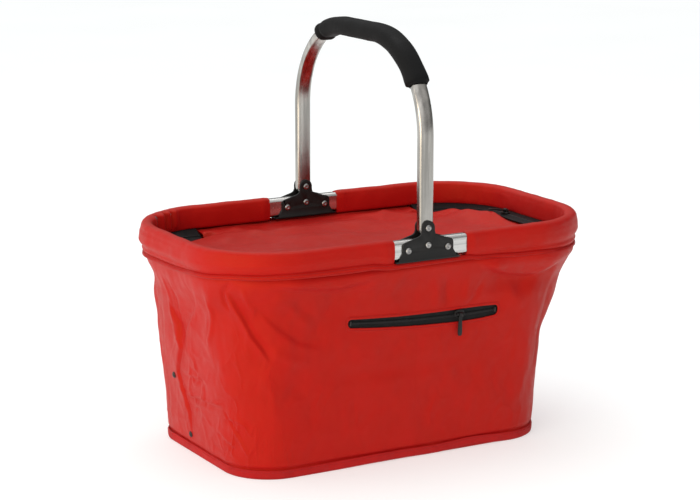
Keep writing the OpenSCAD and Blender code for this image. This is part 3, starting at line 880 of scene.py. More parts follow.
def make_sleeve(name, start, end):
    """Sleeve of cloth round the rim tube, from s = start to s = end, hemmed at both ends."""
    s = np.linspace(start, end, int((end - start) / 2.2))
    seam = seam_z(s) - RIM_Z
    sections = np.array([sleeve_section(v, w) for v, w in zip(seam, slack(s))])
    edge = np.minimum(s - start, end - s)
    snug = np.clip(1 - edge / 5.0, 0, 1)[:, None]
    hem = 0.45 * bump(edge, 9.0, 2.6)[:, None]
    d, h = sections[:, :, 0], sections[:, :, 1]
    out = np.sign(d) * np.clip(np.abs(d) / 6, 0, 1)
    broad, fine = (np.array([[noise.noise(Vector((a / along, b / across + shift, c / across)))
                              for b, c in zip(row_d, row_h)] for a, row_d, row_h in zip(s, d, h)])
                   for along, across, shift in ((26, 14, 0), (9, 10, 5)))
    ripple = broad + 0.5 * fine
    gather = pleats(s)[:, None] * np.clip(-d / 6, 0, 1) * np.clip((h + 15) / 8, 0, 1)
    free = 1 - snug
    d = d + free * (0.45 * ripple * out - gather) + (hem - 0.7 * snug) * out
    h = (h + free * 0.4 * ripple * np.clip((h - 4) / 6, 0, 1)
         - 0.6 * snug * np.clip((h - 6) / 6, 0, 1))
    points = np.empty(d.shape + (3,))
    at, normal = ring(s, -HALF_L, HALF_L, HALF_W, CORNER)
    points[:, :, :2] = at[:, None] + normal[:, None] * d[..., None]
    points[:, :, 2] = RIM_Z + h
    _, unrolled = running(sections[0])
    flat = np.stack(np.broadcast_arrays(s[:, None], unrolled[None, :]), -1)
    sleeve = smooth_by_angle(thicken(grid_object(name, points, flat, RED, closed=True), 0.9), 60)
    finish(sleeve, "rim", "red_cloth", f"rim_{name}")


BAND_H = 5.2


def make_band():
    """Stitched band between the sleeves' seam and the wall."""
    s = np.linspace(0, LOOP, 420, endpoint=False)
    top, height = seam_z(s), band_h(s)
    # heights for a band BAND_H high, and offsets from the rim's middle line
    profile = ((1.2, 3.4), (0.5, 4.7), (-0.5, 5.6), (-2.0, 6.3), (-3.2, 6.7), (-4.4, 6.6),
               (-5.3, 6.1), (-5.8, 5.2), (-5.4, 4.0), (-3.5, 3.2))
    wave = cloud_noise(s[None, :], np.full((1, len(s)), 30.0), 18, 20, 4.4)[0]
    rows, flat = [], []
    reach = 0.0
    for i, (down, d) in enumerate(profile):
        z = top + down * height / BAND_H
        if i:
            reach += math.hypot(down - profile[i - 1][0], d - profile[i - 1][1])
        rows.append(rim_point(s, d - 0.3 - 0.8 * slack(s) + 0.45 * wave * (i > 1),
                              z + 0.3 * wave * (i > 2)))
        flat.append(np.stack([s, np.full_like(s, reach)], -1))
    band = grid_object("hem_band_cloth", np.array(rows)[::-1], np.array(flat)[::-1], RED,
                       closed=True)
    finish(thicken(band, 0.6), "rim", "red_cloth", "hem_band")


def seam_stitches(name, below, d):
    """Row of stitches along the rim's seam, below it by that much and d outwards."""
    s = np.linspace(0, LOOP, int(LOOP / 2.5))
    path = rim_point(s, d - 0.8 * slack(s), seam_z(s) - below * band_h(s) / BAND_H)
    _, out = ring(s, -HALF_L, HALF_L, HALF_W, CORNER)
    finish(stitch_row(name, path, upright(out), RED_THREAD), "rim", "red_cloth")


# ---------------------------------------------------------------- lid and its zip

ZIP_IN = 18.0  # the coil's distance from the rim's middle line
TAPE_FROM, TAPE_TO = 6.5, ZIP_IN + 11  # the tapes' edges, from the same line
LID_IN = ZIP_IN + 7  # the lid cloth's edge, from the same line
TAPE_TOP = span("lid_tape_outer")[1][2]
HINGE_HALF = 144.0  # half length of the lid's sewn rear edge
LID_HINGE_Y = 132.0


def zip_drop(s):
    """How far the lid zip hangs below the height at which it lies by its slider."""
    return around(s, (332, 0.4), (300, 0.4), (372, 0.4), (415, 3.0), (450, 5.0), (520, 6.5),
                  (570, 4.0), (-521, 8.0), (-480, 6.5), (-440, 4.6), (-332, 2.4), (-200, 2.6),
                  (0, 3.4), (200, 2.2))


def zip_span(samples):
    """Places s along the lid zip, which leaves the sewn rear edge free."""
    return np.linspace(REAR + HINGE_HALF, REAR - HINGE_HALF + LOOP, samples)


def zip_wave(s):
    """Soft ups and downs of the tape along the zip."""
    return 0.9 * np.array([noise.noise(Vector((a / 34, 3.1, 0))) for a in s])


def zip_height(s, d, lift, wave):
    """Height of the lid zip at offset d, lift above the tape's top at its outer edge."""
    share = (d + TAPE_FROM) / (TAPE_FROM - TAPE_TO)
    return TAPE_TOP + lift - (1.6 + 1.4 * zip_drop(s)) * share + wave * share


def tape_strip(name, from_d, to_d, body, node):
    """Ribbed zip tape beside the coil, sloping down from the sleeve into the lid."""
    s = zip_span(520)
    rows, flat = [], []
    for d in np.linspace(from_d, to_d, 7):
        rows.append(rim_point(s, d, zip_height(s, d, 1.4, zip_wave(s))))
        flat.append(np.stack([s, np.full_like(s, d)], -1))
    strip = thicken(grid_object(name, np.array(rows)[::-1], np.array(flat)[::-1], TAPE), 0.7)
    finish(strip, body, "zip_tape", node)


def tooth_row(name, path, across, up, height, start, pitch=1.9, width=2.4):
    """Turns of a zip coil: a small rounded loop at each pitch along a path."""
    _, along = running(path)
    parts = []
    for at in np.arange(start, along[-1], pitch):
        p, a, u = (stood_at(at, along, values) for values in (path, across, up))
        t = stood_at(at + 0.5, along, path) - p
        t = t / (np.linalg.norm(t) + 1e-9)
        points = []
        for share, thick in ((-0.5, 0.35), (-0.3, 0.9), (0.1, 0.95), (0.38, 1.25), (0.5, 0.7)):
            middle = p + a * share * width + u * height * 0.5
            for k in range(6):
                angle = math.pi * k / 3
                points.append(middle + t * math.cos(angle) * pitch * 0.36 * thick
                              + u * math.sin(angle) * height * 0.5 * thick)
        parts.append((np.array(points), rod_faces(5)))
    return join_parts(name, parts, COIL)


def lid_coil(name, side, body, node):
    """Half of the lid's zip coil; side is 1 for the half on the rim and -1 for the lid's."""
    s = zip_span(520)
    path = rim_point(s, -ZIP_IN + side * 0.75, zip_height(s, -ZIP_IN, 1.3, zip_wave(s)))
    _, out = ring(s, -HALF_L, HALF_L, HALF_W, CORNER)
    coil = tooth_row(name, path, upright(-side * out), np.tile([0.0, 0.0, 1.0], (len(s), 1)), 1.4,
                     0.0 if side > 0 else 0.95)
    finish(coil, body, "zip_coil", node)


def lid_half_width(y):
    """Half length of the lid panel at y."""
    r = CORNER - LID_IN
    over = np.clip(np.abs(y) - (HALF_W - CORNER), 0, r)
    wide = HALF_L - LID_IN - (r - np.sqrt(r * r - over**2))
    hinge = np.clip((y - (HALF_W - LID_IN)) / 3.0, 0, 1)
    return wide * (1 - hinge) + (HINGE_HALF - 2) * hinge


def lid_height(x, y):
    """Height of the lid's cloth: a slack sheet with folds, a pillow at the right end."""
    edge = HALF_L - LID_IN - np.abs(x)
    rear = HALF_W - 9 - y
    z = TAPE_TOP - 2.6 - 3.0 * np.exp(-((edge / 60) ** 2)) * (x < 0)
    z -= 3.2 * np.exp(-((y + 20) / 90) ** 2) * np.exp(-((x + 20) / 170) ** 2)
    for px, py, qx, qy, width, height in (
        (196, 20, 178, 96, 15, 6.4), (206, -60, 200, 30, 14, 5.0), (150, 92, 206, 66, 9, -2.2),
        (60, 118, 130, 104, 9, 2.6), (-40, 96, 60, 92, 14, 3.2), (-120, 104, -30, 84, 10, 2.6),
        (-150, 70, -60, 60, 12, -2.0), (-182, 40, -120, 88, 12, 3.0), (-196, -40, -176, 40, 14, 3.4),
        (-60, 60, 20, 40, 16, 2.4), (20, 66, 110, 50, 14, -2.2), (90, 20, 170, 60, 15, 2.8),
        (-20, 10, 70, 0, 16, -1.8), (-120, 10, -50, -20, 16, 2.2), (60, -60, 150, -40, 16, 2.0),
        (-130, -70, -40, -80, 15, -2.0), (40, -96, 120, -92, 12, 1.8), (-40, 124, 40, 122, 6, -1.6),
        (-104, 124, -80, 96, 7, 1.8), (104, 124, 84, 98, 7, 1.8),
    ):
        length = math.hypot(qx - px, qy - py)
        dx, dy = (qx - px) / length, (qy - py) / length
        t = (x - px) * dx + (y - py) * dy
        away = (x - px) * dy - (y - py) * dx
        fade = np.clip((t + 0.35 * length) / (0.5 * length), 0, 1) * np.clip(
            (1.35 * length - t) / (0.5 * length), 0, 1)
        z += 1.35 * height * smooth(fade) * np.exp(-((away / width) ** 2))
    z += (3.6 * bump(rear, 10, 5) * (0.7 + 0.3 * np.cos(x / 19))
          * np.clip((HINGE_HALF + 4 - np.abs(x)) / 12, 0, 1))
    return z + (LID_AXIS_Z + 2.8 - z) * np.exp(-((rear / 4) ** 2)) * (np.abs(x) < HINGE_HALF + 6)


def make_lid():
    """Slack lid of cloth; relaxed as cloth held at the zip and at its sewn rear edge."""
    rows, columns = 74, 130
    ys = np.concatenate([np.linspace(-(HALF_W - LID_IN), HALF_W - LID_IN, rows - 4),
                         np.linspace(HALF_W - LID_IN + 1.5, LID_HINGE_Y - 0.6, 4)])
    us = np.linspace(-1, 1, columns)
    y = np.repeat(ys[:, None], columns, 1)
    x = us[None, :] * lid_half_width(ys)[:, None]
    z = lid_height(x, y)
    zip_z = zip_height(nearest_rim(x, y), -LID_IN, 0.9, 0)
    border = np.ones(z.shape, bool)
    border[1:-1, 1:-1] = False
    inward = np.minimum(lid_half_width(ys)[:, None] - np.abs(x), y - ys[0])
    hold = np.exp(-((np.clip(inward, 0, None) / 10) ** 2)) * (y < HALF_W - LID_IN + 1)
    z = z * (1 - hold) + (zip_z - 0.8) * hold
    for i in np.ndindex(z.shape):
        z[i] += (1 - hold[i]) * (0.9 * noise.noise(Vector((x[i] / 44, y[i] / 30, 1.7)))
                                 + 0.35 * noise.noise(Vector((x[i] / 15, y[i] / 12, 9))))
    points = np.stack([x, y, z], -1)
    flat = np.stack([x + 300, y + 300], -1)
    lid = grid_object("lid_cloth", points, flat, RED)
    relax(lid, border.ravel())
    finish(thicken(lid, 0.9), "lid", "red_cloth", "lid_panel")


def nearest_rim(x, y):
    """Place s on the rim nearest to points inside it."""
    samples = np.linspace(0, LOOP, 665, endpoint=False)
    at, _ = ring(samples, -HALF_L, HALF_L, HALF_W, CORNER)
    out = np.empty(x.shape)
    for i in np.ndindex(x.shape):
        out[i] = samples[np.argmin((at[:, 0] - x[i]) ** 2 + (at[:, 1] - y[i]) ** 2)]
    return out


def relax(obj, pinned, frames=26, shrink=-0.014, gravity=0.12, cap=2.2 * MM):
    """Lets a sheet settle as cloth, held at its pinned points; shrink below 0 gives it slack.
    No point moves further than cap."""
    scene = bpy.context.scene
    before = [v.co.copy() for v in obj.data.vertices]
    group = obj.vertex_groups.new(name="held")
    group.add(np.flatnonzero(pinned).tolist(), 1.0, "REPLACE")
    cloth = obj.modifiers.new("cloth", "CLOTH")
    settings = cloth.settings
    settings.quality = 6
    settings.mass = 0.25
    settings.tension_stiffness = settings.compression_stiffness = 25
    settings.shear_stiffness = 12
    settings.bending_stiffness = 1.4
    settings.air_damping = 4
    settings.vertex_group_mass = "held"
    settings.pin_stiffness = 1
    settings.shrink_min = shrink
    settings.effector_weights.gravity = gravity
    cloth.point_cache.frame_start, cloth.point_cache.frame_end = 1, frames
    scene.frame_start, scene.frame_end = 1, frames
    for number in range(1, frames + 1):
        scene.frame_set(number)
    apply_modifiers(obj)
    obj.vertex_groups.clear()
    for vertex, start in zip(obj.data.vertices, before):
        move = vertex.co - start
        if move.length > cap:
            vertex.co = start + move * (cap / move.length)
    scene.frame_set(1)


# ---------------------------------------------------------------- pocket zip


def on_pocket(along, across, out):
    """Point of the pocket zip's frame: along it, upwards across it, and out of the wall."""
    along, across, out = (np.asarray(v, float) for v in (along, across, out))
    across = across - pocket_sag(along)
    x = POCKET_X + along * math.cos(POCKET_FALL) + across * math.sin(POCKET_FALL)
    z = POCKET_Z - along * math.sin(POCKET_FALL) + across * math.cos(POCKET_FALL)
    return np.stack([x, wall_y(z) - out, z], -1)


def wall_y(z):
    """The front wall's smooth outer face at height z, beside the zip."""
    half = np.array([station(float(v))[2] for v in np.asarray(z).ravel()]).reshape(np.shape(z))
    return -half


def make_pocket():
    """Folded edge of the window, tape, coil halves and stitches."""
    corner = 3.9
    u = 0.5 - 0.5 * np.cos(math.pi * np.arange(96) / 96)
    corners = np.array([(-WINDOW_HALF, -1), (WINDOW_HALF, -1), (WINDOW_HALF, 1), (-WINDOW_HALF, 1)])
    outline = np.concatenate([a + (b - a) * u[:, None]
                              for a, b in zip(corners, np.roll(corners, -1, axis=0))])
    high = window_half(outline[:, 0])
    outline[:, 1] *= high
    core = np.stack([np.clip(outline[:, 0], -WINDOW_HALF + corner, WINDOW_HALF - corner),
                     np.clip(outline[:, 1], corner - high, high - corner)], -1)
    away = outline - core
    away = away / np.maximum(np.linalg.norm(away, axis=1, keepdims=True), 1e-6)
    rows, flat = [], []
    profile = ((1.6, -2.0), (0.8, -1.5), (0.4, -0.7), (0.35, -0.1), (0.6, 0.3), (1.3, 0.4),
               (2.4, 0.3), (3.1, 0.12), (4.0, 0.16), (4.8, -0.05), (5.6, -0.5))
    for wider, out in profile:
        p = core + away * (corner + wider)
        rows.append(on_pocket(p[:, 0], p[:, 1], np.full(len(p), out)))
        flat.append(np.stack([p[:, 0] + 200, p[:, 1] + 40], -1))
    finish(grid_object("pocket_window_hem", np.array(rows)[::-1], np.array(flat)[::-1], RED,
                       closed=True), "rim", "red_cloth")
    outer = core + away * (corner + 3.1)
    path = on_pocket(outer[:, 0], outer[:, 1], np.full(len(outer), 0.3))
    path = np.concatenate([path, path[:1]])
    stitches = stitch_row("pocket_window_stitches", path, np.tile([0.0, -1.0, 0.0], (len(path), 1)),
                          RED_THREAD, 2.2, 1.1, 0.5, 0.18)
    finish(stitches, "rim", "red_cloth")

    along = np.linspace(-WINDOW_HALF - 4, WINDOW_HALF + 4, 90)
    across = np.linspace(-10.5, 10.5, 15)
    sunk = -1.9 - 0.35 * np.cos(across / 3.2)
    grid = np.array([on_pocket(along, np.full(len(along), a), np.full(len(along), o))
                     for a, o in zip(across, sunk)])
    flat = np.array([np.stack([along + 200, np.full(len(along), a + 20)], -1) for a in across])
    tape = thicken(grid_object("pocket_tape", grid, flat, TAPE), 0.6)
    finish(tape, "rim", "zip_tape", "pocket_zip_tape")
    line = np.linspace(-WINDOW_HALF + 3, WINDOW_HALF - 3, 80)
    for name, side, start, nodes in (("pocket_coil_low", -1.0, 0.95, ("pocket_zip_coil",)),
                                     ("pocket_coil_high", 1.0, 0.0, ())):
        path = on_pocket(line, np.full(80, side * 0.75), np.full(80, -1.9))
        coil = tooth_row(name, path, np.tile([0.0, 0.0, -side], (80, 1)),
                         np.tile([0.0, -1.0, 0.0], (80, 1)), 1.3, start)
        finish(coil, "rim", "zip_coil", *nodes)


def make_pocket_bag():
    """Thin inner bag of the pocket, two leaves with a slack round bottom."""
    low, high = span("pocket_bag")
    rows, columns = 40, 46
    points, flat = [], []
    for k in range(rows):
        t = k / (rows - 1)
        leaf = 1 if t < 0.5 else -1
        drop = 1 - abs(1 - 2 * t)
        z = high[2] - (high[2] - low[2]) * drop
        line = []
        for i in range(columns):
            u = 2 * i / (columns - 1) - 1
            x = (low[0] + high[0]) / 2 + u * (high[0] - low[0]) / 2 * (1 - 0.03 * drop)
            full = 1.6 * math.sin(math.pi * min(drop * 1.02, 1)) * (1 - u * u) + 0.35
            front = float(wall_y(np.array(z))) + 4.6 + 1.3 * max(0.0, (z - FOLD_Z) / 60)
            y = front + 1.8 - leaf * full + 0.5 * noise.noise(Vector((x / 22, z / 18, leaf * 3.0)))
            line.append((x, y, z))
        points.append(line)
        flat.append([(i * 4.3, k * 6.4) for i in range(columns)])
    bag = thicken(grid_object("pocket_inner_bag", np.array(points), np.array(flat, float), LINING),
                  0.35)
    finish(bag, "rim", "lining", "pocket_bag")
    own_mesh(bag)


# ---------------------------------------------------------------- sliders and pulls

EYE_R = 1.9  # the rolled eye of a pull
EYE_H = 5.7  # its middle above the teeth
BAR_R = 0.8
LID_DROOP = math.radians(-8)  # below 0 lifts the lid's pull off the lid


def plate_outline(points, rounding):
    """Outline in 2D with its corners rounded."""
    out = []
    n = len(points)
    for i in range(n):
        p, a, b = (Vector(points[j % n]) for j in (i, i - 1, i + 1))
        r = min(rounding, (p - a).length / 2.1, (p - b).length / 2.1)
        start, end = p + (a - p).normalized() * r, p + (b - p).normalized() * r
        out += [(start * (1 - t) ** 2 + p * 2 * t * (1 - t) + end * t * t)[:]
                for t in (0, 0.2, 0.4, 0.6, 0.8, 1)]
    return out


def prism(name, outline, z0, z1, matrix, width, crown=0.0):
    """Bevelled solid of a 2D outline between two heights; a crown domes its top."""
    mesh = bmesh.new()
    face = mesh.faces.new([mesh.verts.new((x, y, z0)) for x, y in outline])
    for v in bmesh.ops.extrude_face_region(mesh, geom=[face])["geom"]:
        if isinstance(v, bmesh.types.BMVert):
            v.co.z = z1
    bmesh.ops.recalc_face_normals(mesh, faces=mesh.faces)
    if crown:
        top = next(f for f in mesh.faces if all(abs(v.co.z - z1) < 1e-6 for v in f.verts))
        bmesh.ops.inset_region(mesh, faces=[top], thickness=1.0)
        for v in top.verts:
            v.co.z = z1 + crown
    mesh.transform(Matrix(matrix))
    mesh.transform(Matrix.Scale(MM, 4))
    data = bpy.data.meshes.new(name)
    mesh.to_mesh(data)
    mesh.free()
    return smooth_by_angle(bevel(linked(name, data, SLIDER), width, 3, 25), 35)


def frame_matrix(at, x, y, z):
    """Matrix with the given axes at a point."""
    m = Matrix.Identity(4)
    for column, axis in enumerate((x, y, z)):
        for row in range(3):
            m[row][column] = axis[row]
    m.translation = Vector(at)
    return m


def merge(name, objects):
    """Joins objects into the first one."""
    with bpy.context.temp_override(active_object=objects[0], object=objects[0],
                                   selected_objects=objects, selected_editable_objects=objects):
        bpy.ops.object.join()
    objects[0].name = objects[0].data.name = name
    return objects[0]


def arc(radius, angles):
    """Points in 2D on a circle."""
    return [(radius * math.cos(a), radius * math.sin(a)) for a in angles]


def zip_slider(name, matrix, body, node):
    """Slider: shield-shaped top plate, two cheeks beside the teeth and a bar for the pull."""
    shield = plate_outline([(-6, -2.6), (-2, -4.5), (4.2, -4.5), (6, -3.6), (6, 3.6), (4.2, 4.5),
                            (-2, 4.5), (-6, 2.6)], 1.2)
    parts = [prism(name, shield, 2.4, 3.4, matrix, 0.4, 0.3)]
    for side in (-1, 1):
        cheek = plate_outline([(-4.8, side * 2.0), (4.8, side * 2.2), (4.8, side * 2.9),
                               (-1.5, side * 2.9), (-4.8, side * 2.5)][::side], 0.3)
        parts.append(prism(f"{name}_cheek{side + 1}", cheek, 0.3, 2.6, matrix, 0.2))
        post = plate_outline([(side * 3.1, -1.3), (side * 4.7, -1.3), (side * 4.7, 1.3),
                              (side * 3.1, 1.3)][::side], 0.5)
        parts.append(prism(f"{name}_post{side + 1}", post, 3.2, EYE_H + 1.2, matrix, 0.45))
    bar = arc(BAR_R, np.linspace(0, 2 * math.pi, 20, endpoint=False))
    along_x = matrix @ frame_matrix((0, 0, EYE_H), (0, 1, 0), (0, 0, 1), (1, 0, 0))
    parts.append(prism(f"{name}_bar", bar, -3.5, 3.5, along_x, 0.1))
    return finish(merge(name, parts), body, "slider_metal", node)


def pull_tab(name, matrix, body, node):
    """Pull: sheet rolled into an eye round the bar, and a tapered blade with a raised middle."""
    blade = plate_outline([(-1.9, -1.4), (-2.2, -8), (-2.8, -21), (-1.9, -24.4), (1.9, -24.4),
                           (2.8, -21), (2.2, -8), (1.9, -1.4)], 1.0)
    parts = [prism(name, blade, -0.7, 0.7, matrix, 0.35)]
    middle = plate_outline([(-1.1, -6), (-1.6, -20.4), (-1.0, -22.4), (1.0, -22.4), (1.6, -20.4),
                            (1.1, -6)], 0.8)
    parts.append(prism(f"{name}_middle", middle, -1.0, 1.0, matrix, 0.3))
    turns = np.linspace(math.radians(-75), math.radians(255), 30)
    roll = arc(EYE_R, turns) + arc(BAR_R + 0.15, turns[::-1])
    along_x = matrix @ frame_matrix((0, 0, 0), (0, 1, 0), (0, 0, 1), (1, 0, 0))
    parts.append(prism(f"{name}_eye", roll, -2.2, 2.2, along_x, 0.15))
    return finish(merge(name, parts), body, "slider_metal", node)


def make_sliders():
    """Sliders and pulls of the pocket and the lid; each eye is where the part has its hinge."""
    low, high = span("pocket_pull_tab")
    eye = np.array([(low[0] + high[0]) / 2, (low[1] + high[1]) / 2, high[2] - EYE_R])
    c, d = math.cos(POCKET_FALL), math.sin(POCKET_FALL)
    lean = Vector((0, float(wall_y(eye[2] + 5) - wall_y(eye[2] - 5)), 10)).normalized()
    out = Vector((c, 0, -d)).cross(lean).normalized()
    zip_slider("pocket_zip_slider", frame_matrix(Vector(eye) - out * EYE_H, (c, 0, -d),
                                                 out.cross(Vector((c, 0, -d))), out),
               "pocket_slider", "pocket_slider")
    pull_tab("pocket_zip_pull", frame_matrix(eye, (c, 0, -d), (d, 0, c), (0, -1, 0)),
             "pocket_pull", "pocket_pull_tab")
    low, high = span("lid_pull_tab")
    eye = np.array([high[0] - EYE_R, (low[1] + high[1]) / 2, high[2] - EYE_R])
    zip_slider("lid_zip_slider", frame_matrix(eye - np.array([0, 0, EYE_H]), (0, 1, 0), (-1, 0, 0),
                                              (0, 0, 1)), "lid_slider", "lid_slider")
    c, d = math.cos(LID_DROOP), math.sin(LID_DROOP)
    pull_tab("lid_zip_pull", frame_matrix(eye, (0, -1, 0), (c, 0, d), (-d, 0, c)),
             "lid_pull", "lid_pull_tab")


# ---------------------------------------------------------------- base, studs, hinges, handle


def raised_edge(s):
    """How far the bottom edge lifts off the floor, here and there."""
    x = signed(s)
    return 2.4 * bump(x, 84, 34) + 1.0 * bump(x, -30, 40) + 0.8 * bump(x, 410, 60)


def make_binding():
    """Ribbed binding folded round the bottom edge, a little wavy."""
    low, high = span("base_binding")
    height = high[2] - low[2]
    s = np.linspace(0, LOOP, 420, endpoint=False)
    left, right, half, corner = station(1.0)
    at, out = ring(s, left, right, half, corner)
    wave = cloud_noise(s[None, :], np.full((1, len(s)), 5.0), 60, 20, 9.1)[0]
    fine = cloud_noise(s[None, :], np.full((1, len(s)), 5.0), 17, 20, 5.2)[0]
    profile = ((-9.0, 0.0), (-3.0, 0.0), (0.0, 0.05), (1.2, 0.8), (1.7, 2.4), (1.9, 4.6),
               (1.8, 6.8), (1.6, 8.4), (1.4, height - 0.7), (0.9, height), (0.1, height - 0.3),
               (-1.0, height - 1.6))
    rows, flat, reach = [], [], 0.0
    raised = raised_edge(s)
    for i, (d, z) in enumerate(profile):
        reach += math.hypot(d - profile[i - 1][0], z - profile[i - 1][1]) if i else 0
        lift = np.clip(z / height, 0, 1)
        side = d + (0.6 * wave + 0.35 * fine) * (d > 0) * lift
        rows.append(np.concatenate([at + out * side[:, None],
                                    (z + raised + (0.7 * wave + 0.35 * fine) * lift)[:, None]], 1))
        flat.append(np.stack([s, np.full_like(s, reach)], -1))
    binding = grid_object("base_binding_tape", np.array(rows), np.array(flat), RED_BINDING,
                          closed=True)
    finish(thicken(binding, 0.5), "base", "red_binding", "base_binding")
    s = np.linspace(0, LOOP, 520)
    at, out = ring(s, left, right, half, corner)
    side = 1.75 + 0.3 * cloud_noise(s[None, :], np.full((1, len(s)), 5.0), 60, 20, 9.1)[0]
    path = np.concatenate([at + out * side[:, None], (height - 2.2 + raised_edge(s))[:, None]], 1)
    finish(stitch_row("base_binding_stitches", path, upright(out), RED_THREAD), "base",
           "red_binding")


def make_base():
    """Underside panel of cloth, bulging a little under the board."""
    left, right, half, corner = station(1.0)
    rows, columns = 40, 60
    points, flat = np.empty((rows, columns, 3)), np.empty((rows, columns, 2))
    for r, y in enumerate(np.linspace(-half + 0.8, half - 0.8, rows)):
        over = min(max(abs(y) - (half - corner), 0), corner - 0.1)
        trim = corner - math.sqrt(corner**2 - over**2)
        for c, x in enumerate(np.linspace(left + 0.8 + trim, right - 0.8 - trim, columns)):
            z = 1.35 + 0.2 * noise.noise(Vector((x / 40, y / 40, 2)))
            points[r, c] = (x, y, z)
            flat[r, c] = (x + 300, y + 300)
    panel = thicken(grid_object("base_cloth", points, flat, RED), 0.9)
    finish(panel, "base", "red_cloth", "base_panel")


def make_studs():
    """Press studs of the ends: sprung caps outside, sockets inside."""
    low, high = span("press_stud_caps")
    r = 3.4
    places = ((high[1] - r, high[2] - r), (low[1] + r, low[2] + r))
    cap = lathe([(3.5, -0.4), (3.5, 0.35), (3.3, 0.7), (2.9, 0.8), (2.65, 0.62), (2.5, 0.75),
                 (2.1, 1.45), (1.3, 1.8), (0.5, 1.9)])
    socket = lathe([(4.3, -0.2), (4.3, 1.0), (4.0, 1.5), (2.6, 1.6), (2.2, 1.2), (2.0, 2.0),
                    (1.4, 2.3), (1.2, 1.2)])
    caps, sockets = [], []
    for side in (-1, 1):
        for y, z in places:
            left, right, _, _ = station(float(z))
            left2, right2, _, _ = station(float(z) + 4)
            x, slope = (left, (left2 - left) / 4) if side < 0 else (right, (right2 - right) / 4)
            out = Vector((side, 0, -side * slope)).normalized()
            caps.append(placed(cap, facing(out, (x + side * 0.2, y, z))))
            sockets.append(placed(socket, facing(-out, (x - side * 1.1, y, z))))
    for name, parts, node in (("stud_caps", caps, "press_stud_caps"),
                              ("stud_sockets", sockets, "press_stud_sockets")):
        obj = join_parts(name, parts, STUD)
        finish(smooth_by_angle(obj, 50), "base", "stud_metal", node)


def refined(node, name, material, body, slot):
    """Copy of a CAD node with worked edges."""
    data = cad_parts[node].data.copy()
    data.name = name
    data.materials.clear()
    obj = linked(name, data, material)
    mesh = bmesh.new()
    mesh.from_mesh(data)
    bmesh.ops.remove_doubles(mesh, verts=mesh.verts, dist=1e-6)
    bmesh.ops.dissolve_limit(mesh, angle_limit=math.radians(1), verts=mesh.verts, edges=mesh.edges)
    mesh.to_mesh(data)
    mesh.free()
    finish(smooth_by_angle(bevel(obj, 0.35, 2, 30), 35), body, slot, node)


def middle_z(node):
    """Height of a CAD node's middle, in mm."""
    low, high = span(node)
    return (low[2] + high[2]) / 2


def make_rivets():
    """Domed rivet heads with a pressed dimple, on both faces of each hinge."""
    head = lathe([(3.6, -0.15), (3.65, 0.2), (3.35, 0.85), (2.6, 1.35), (1.7, 1.6), (1.35, 1.58),
                  (1.1, 1.3), (0.5, 1.15), (0.2, 1.12)], 36)
    face = span("hinge_plate_rear_outer")[1][1] - 0.4
    inner = 2 * HALF_W - face
    rivet_x = span("side_rivets")[1][0] - 3.5
    pin = lathe([(2.0, -(face - inner) / 2), (2.0, (face - inner) / 2)], 24)
    for kind, places in (("side", ((-rivet_x, RIM_Z), (rivet_x, RIM_Z))),
                         ("centre", ((0, middle_z("centre_rivets")),)),
                         ("pivot", ((0, middle_z("pivot_rivets")),))):
        parts = []
        for x, z in places:
            for side in (-1, 1):
                parts.append(placed(head, facing((0, side, 0), (x, side * face, z))))
                parts.append(placed(head, facing((0, -side, 0), (x, side * inner, z))))
                parts.append(placed(pin, facing((0, 1, 0), (x, side * HALF_W, z))))
        obj = smooth_by_angle(join_parts(f"{kind}_rivet_heads", parts, RIVET), 55)
        finish(obj, "rim", "rivet", f"{kind}_rivets")


HANDLE_LOW, HANDLE_HIGH = span("handle_tube")
GRIP_LOW, GRIP_HIGH = span("foam_grip")
HANDLE_W, HANDLE_T = HANDLE_HIGH[0] - HANDLE_LOW[0], 11.0
GRIP_W, GRIP_T = GRIP_HIGH[0] - GRIP_LOW[0], 20.0
BEND = 102.0  # radius of the middle line's two bends, which end in BEND_Y and BEND_Z
BEND_Y = HALF_W - BEND
BEND_Z = HANDLE_HIGH[2] - HANDLE_T / 2 - BEND
GRIP_FRONT, GRIP_REAR = math.radians(58), math.radians(29)  # how far the grip reaches into them


def arch(t):
    """Point and outward direction of the handle's middle line, t mm from its top; rear is +."""
    bend = abs(t) - BEND_Y
    if bend <= 0:
        return np.array([0, t, BEND_Z + BEND]), np.array([0, 0, 1.0])
    side = math.copysign(1, t)
    angle = bend / BEND
    out = np.array([0, side * math.sin(angle), math.cos(angle)])
    return np.array([0, side * BEND_Y, BEND_Z]) + out * BEND, out


def arch_leg(t):
    """The middle line of the handle tube, which goes on straight down below its bends."""
    below = abs(t) - BEND_Y - BEND * math.pi / 2
    if below <= 0:
        return arch(t)
    side = math.copysign(1, t)
    return np.array([0, side * HALF_W, BEND_Z - below]), np.array([0, side * 1.0, 0])


def make_handle():
    """Flat-oval tube with crowned faces, its ends rounded about the pivots."""
    half_w, half_t = HANDLE_W / 2, HANDLE_HIGH[1] - HALF_W
    reach = BEND_Y + BEND * math.pi / 2 + BEND_Z - middle_z("pivot_rivets")
    end = [half_w * math.sin(a) for a in np.linspace(0, math.pi / 2 - 0.12, 9)]
    ts = np.concatenate([-(reach + np.array(end[::-1])), np.linspace(-reach, reach, 190)[1:-1],
                         reach + np.array(end)])
    rows = []
    for t in ts:
        p, out = arch_leg(t)
        past = max(abs(t) - reach, 0)
        wide = math.sqrt(half_w**2 - past**2)
        row = []
        for a in np.linspace(0, 2 * math.pi, 56, endpoint=False):
            c, d = math.cos(a), math.sin(a)
            row.append(p + np.array([wide * math.copysign(abs(c) ** 0.62, c), 0, 0])
                       + out * half_t * math.copysign(abs(d) ** 0.72, d))
        rows.append(row)
    points = np.array(rows)[:, ::-1]
    flat = np.stack(np.broadcast_arrays(ts[:, None], np.arange(56)[None, :]), -1)
    tube = grid_object("handle_arch", points, flat, ALUMINIUM, closed=True)
    finish(thicken(tube, 1.2), "handle", "aluminium", "handle_tube")


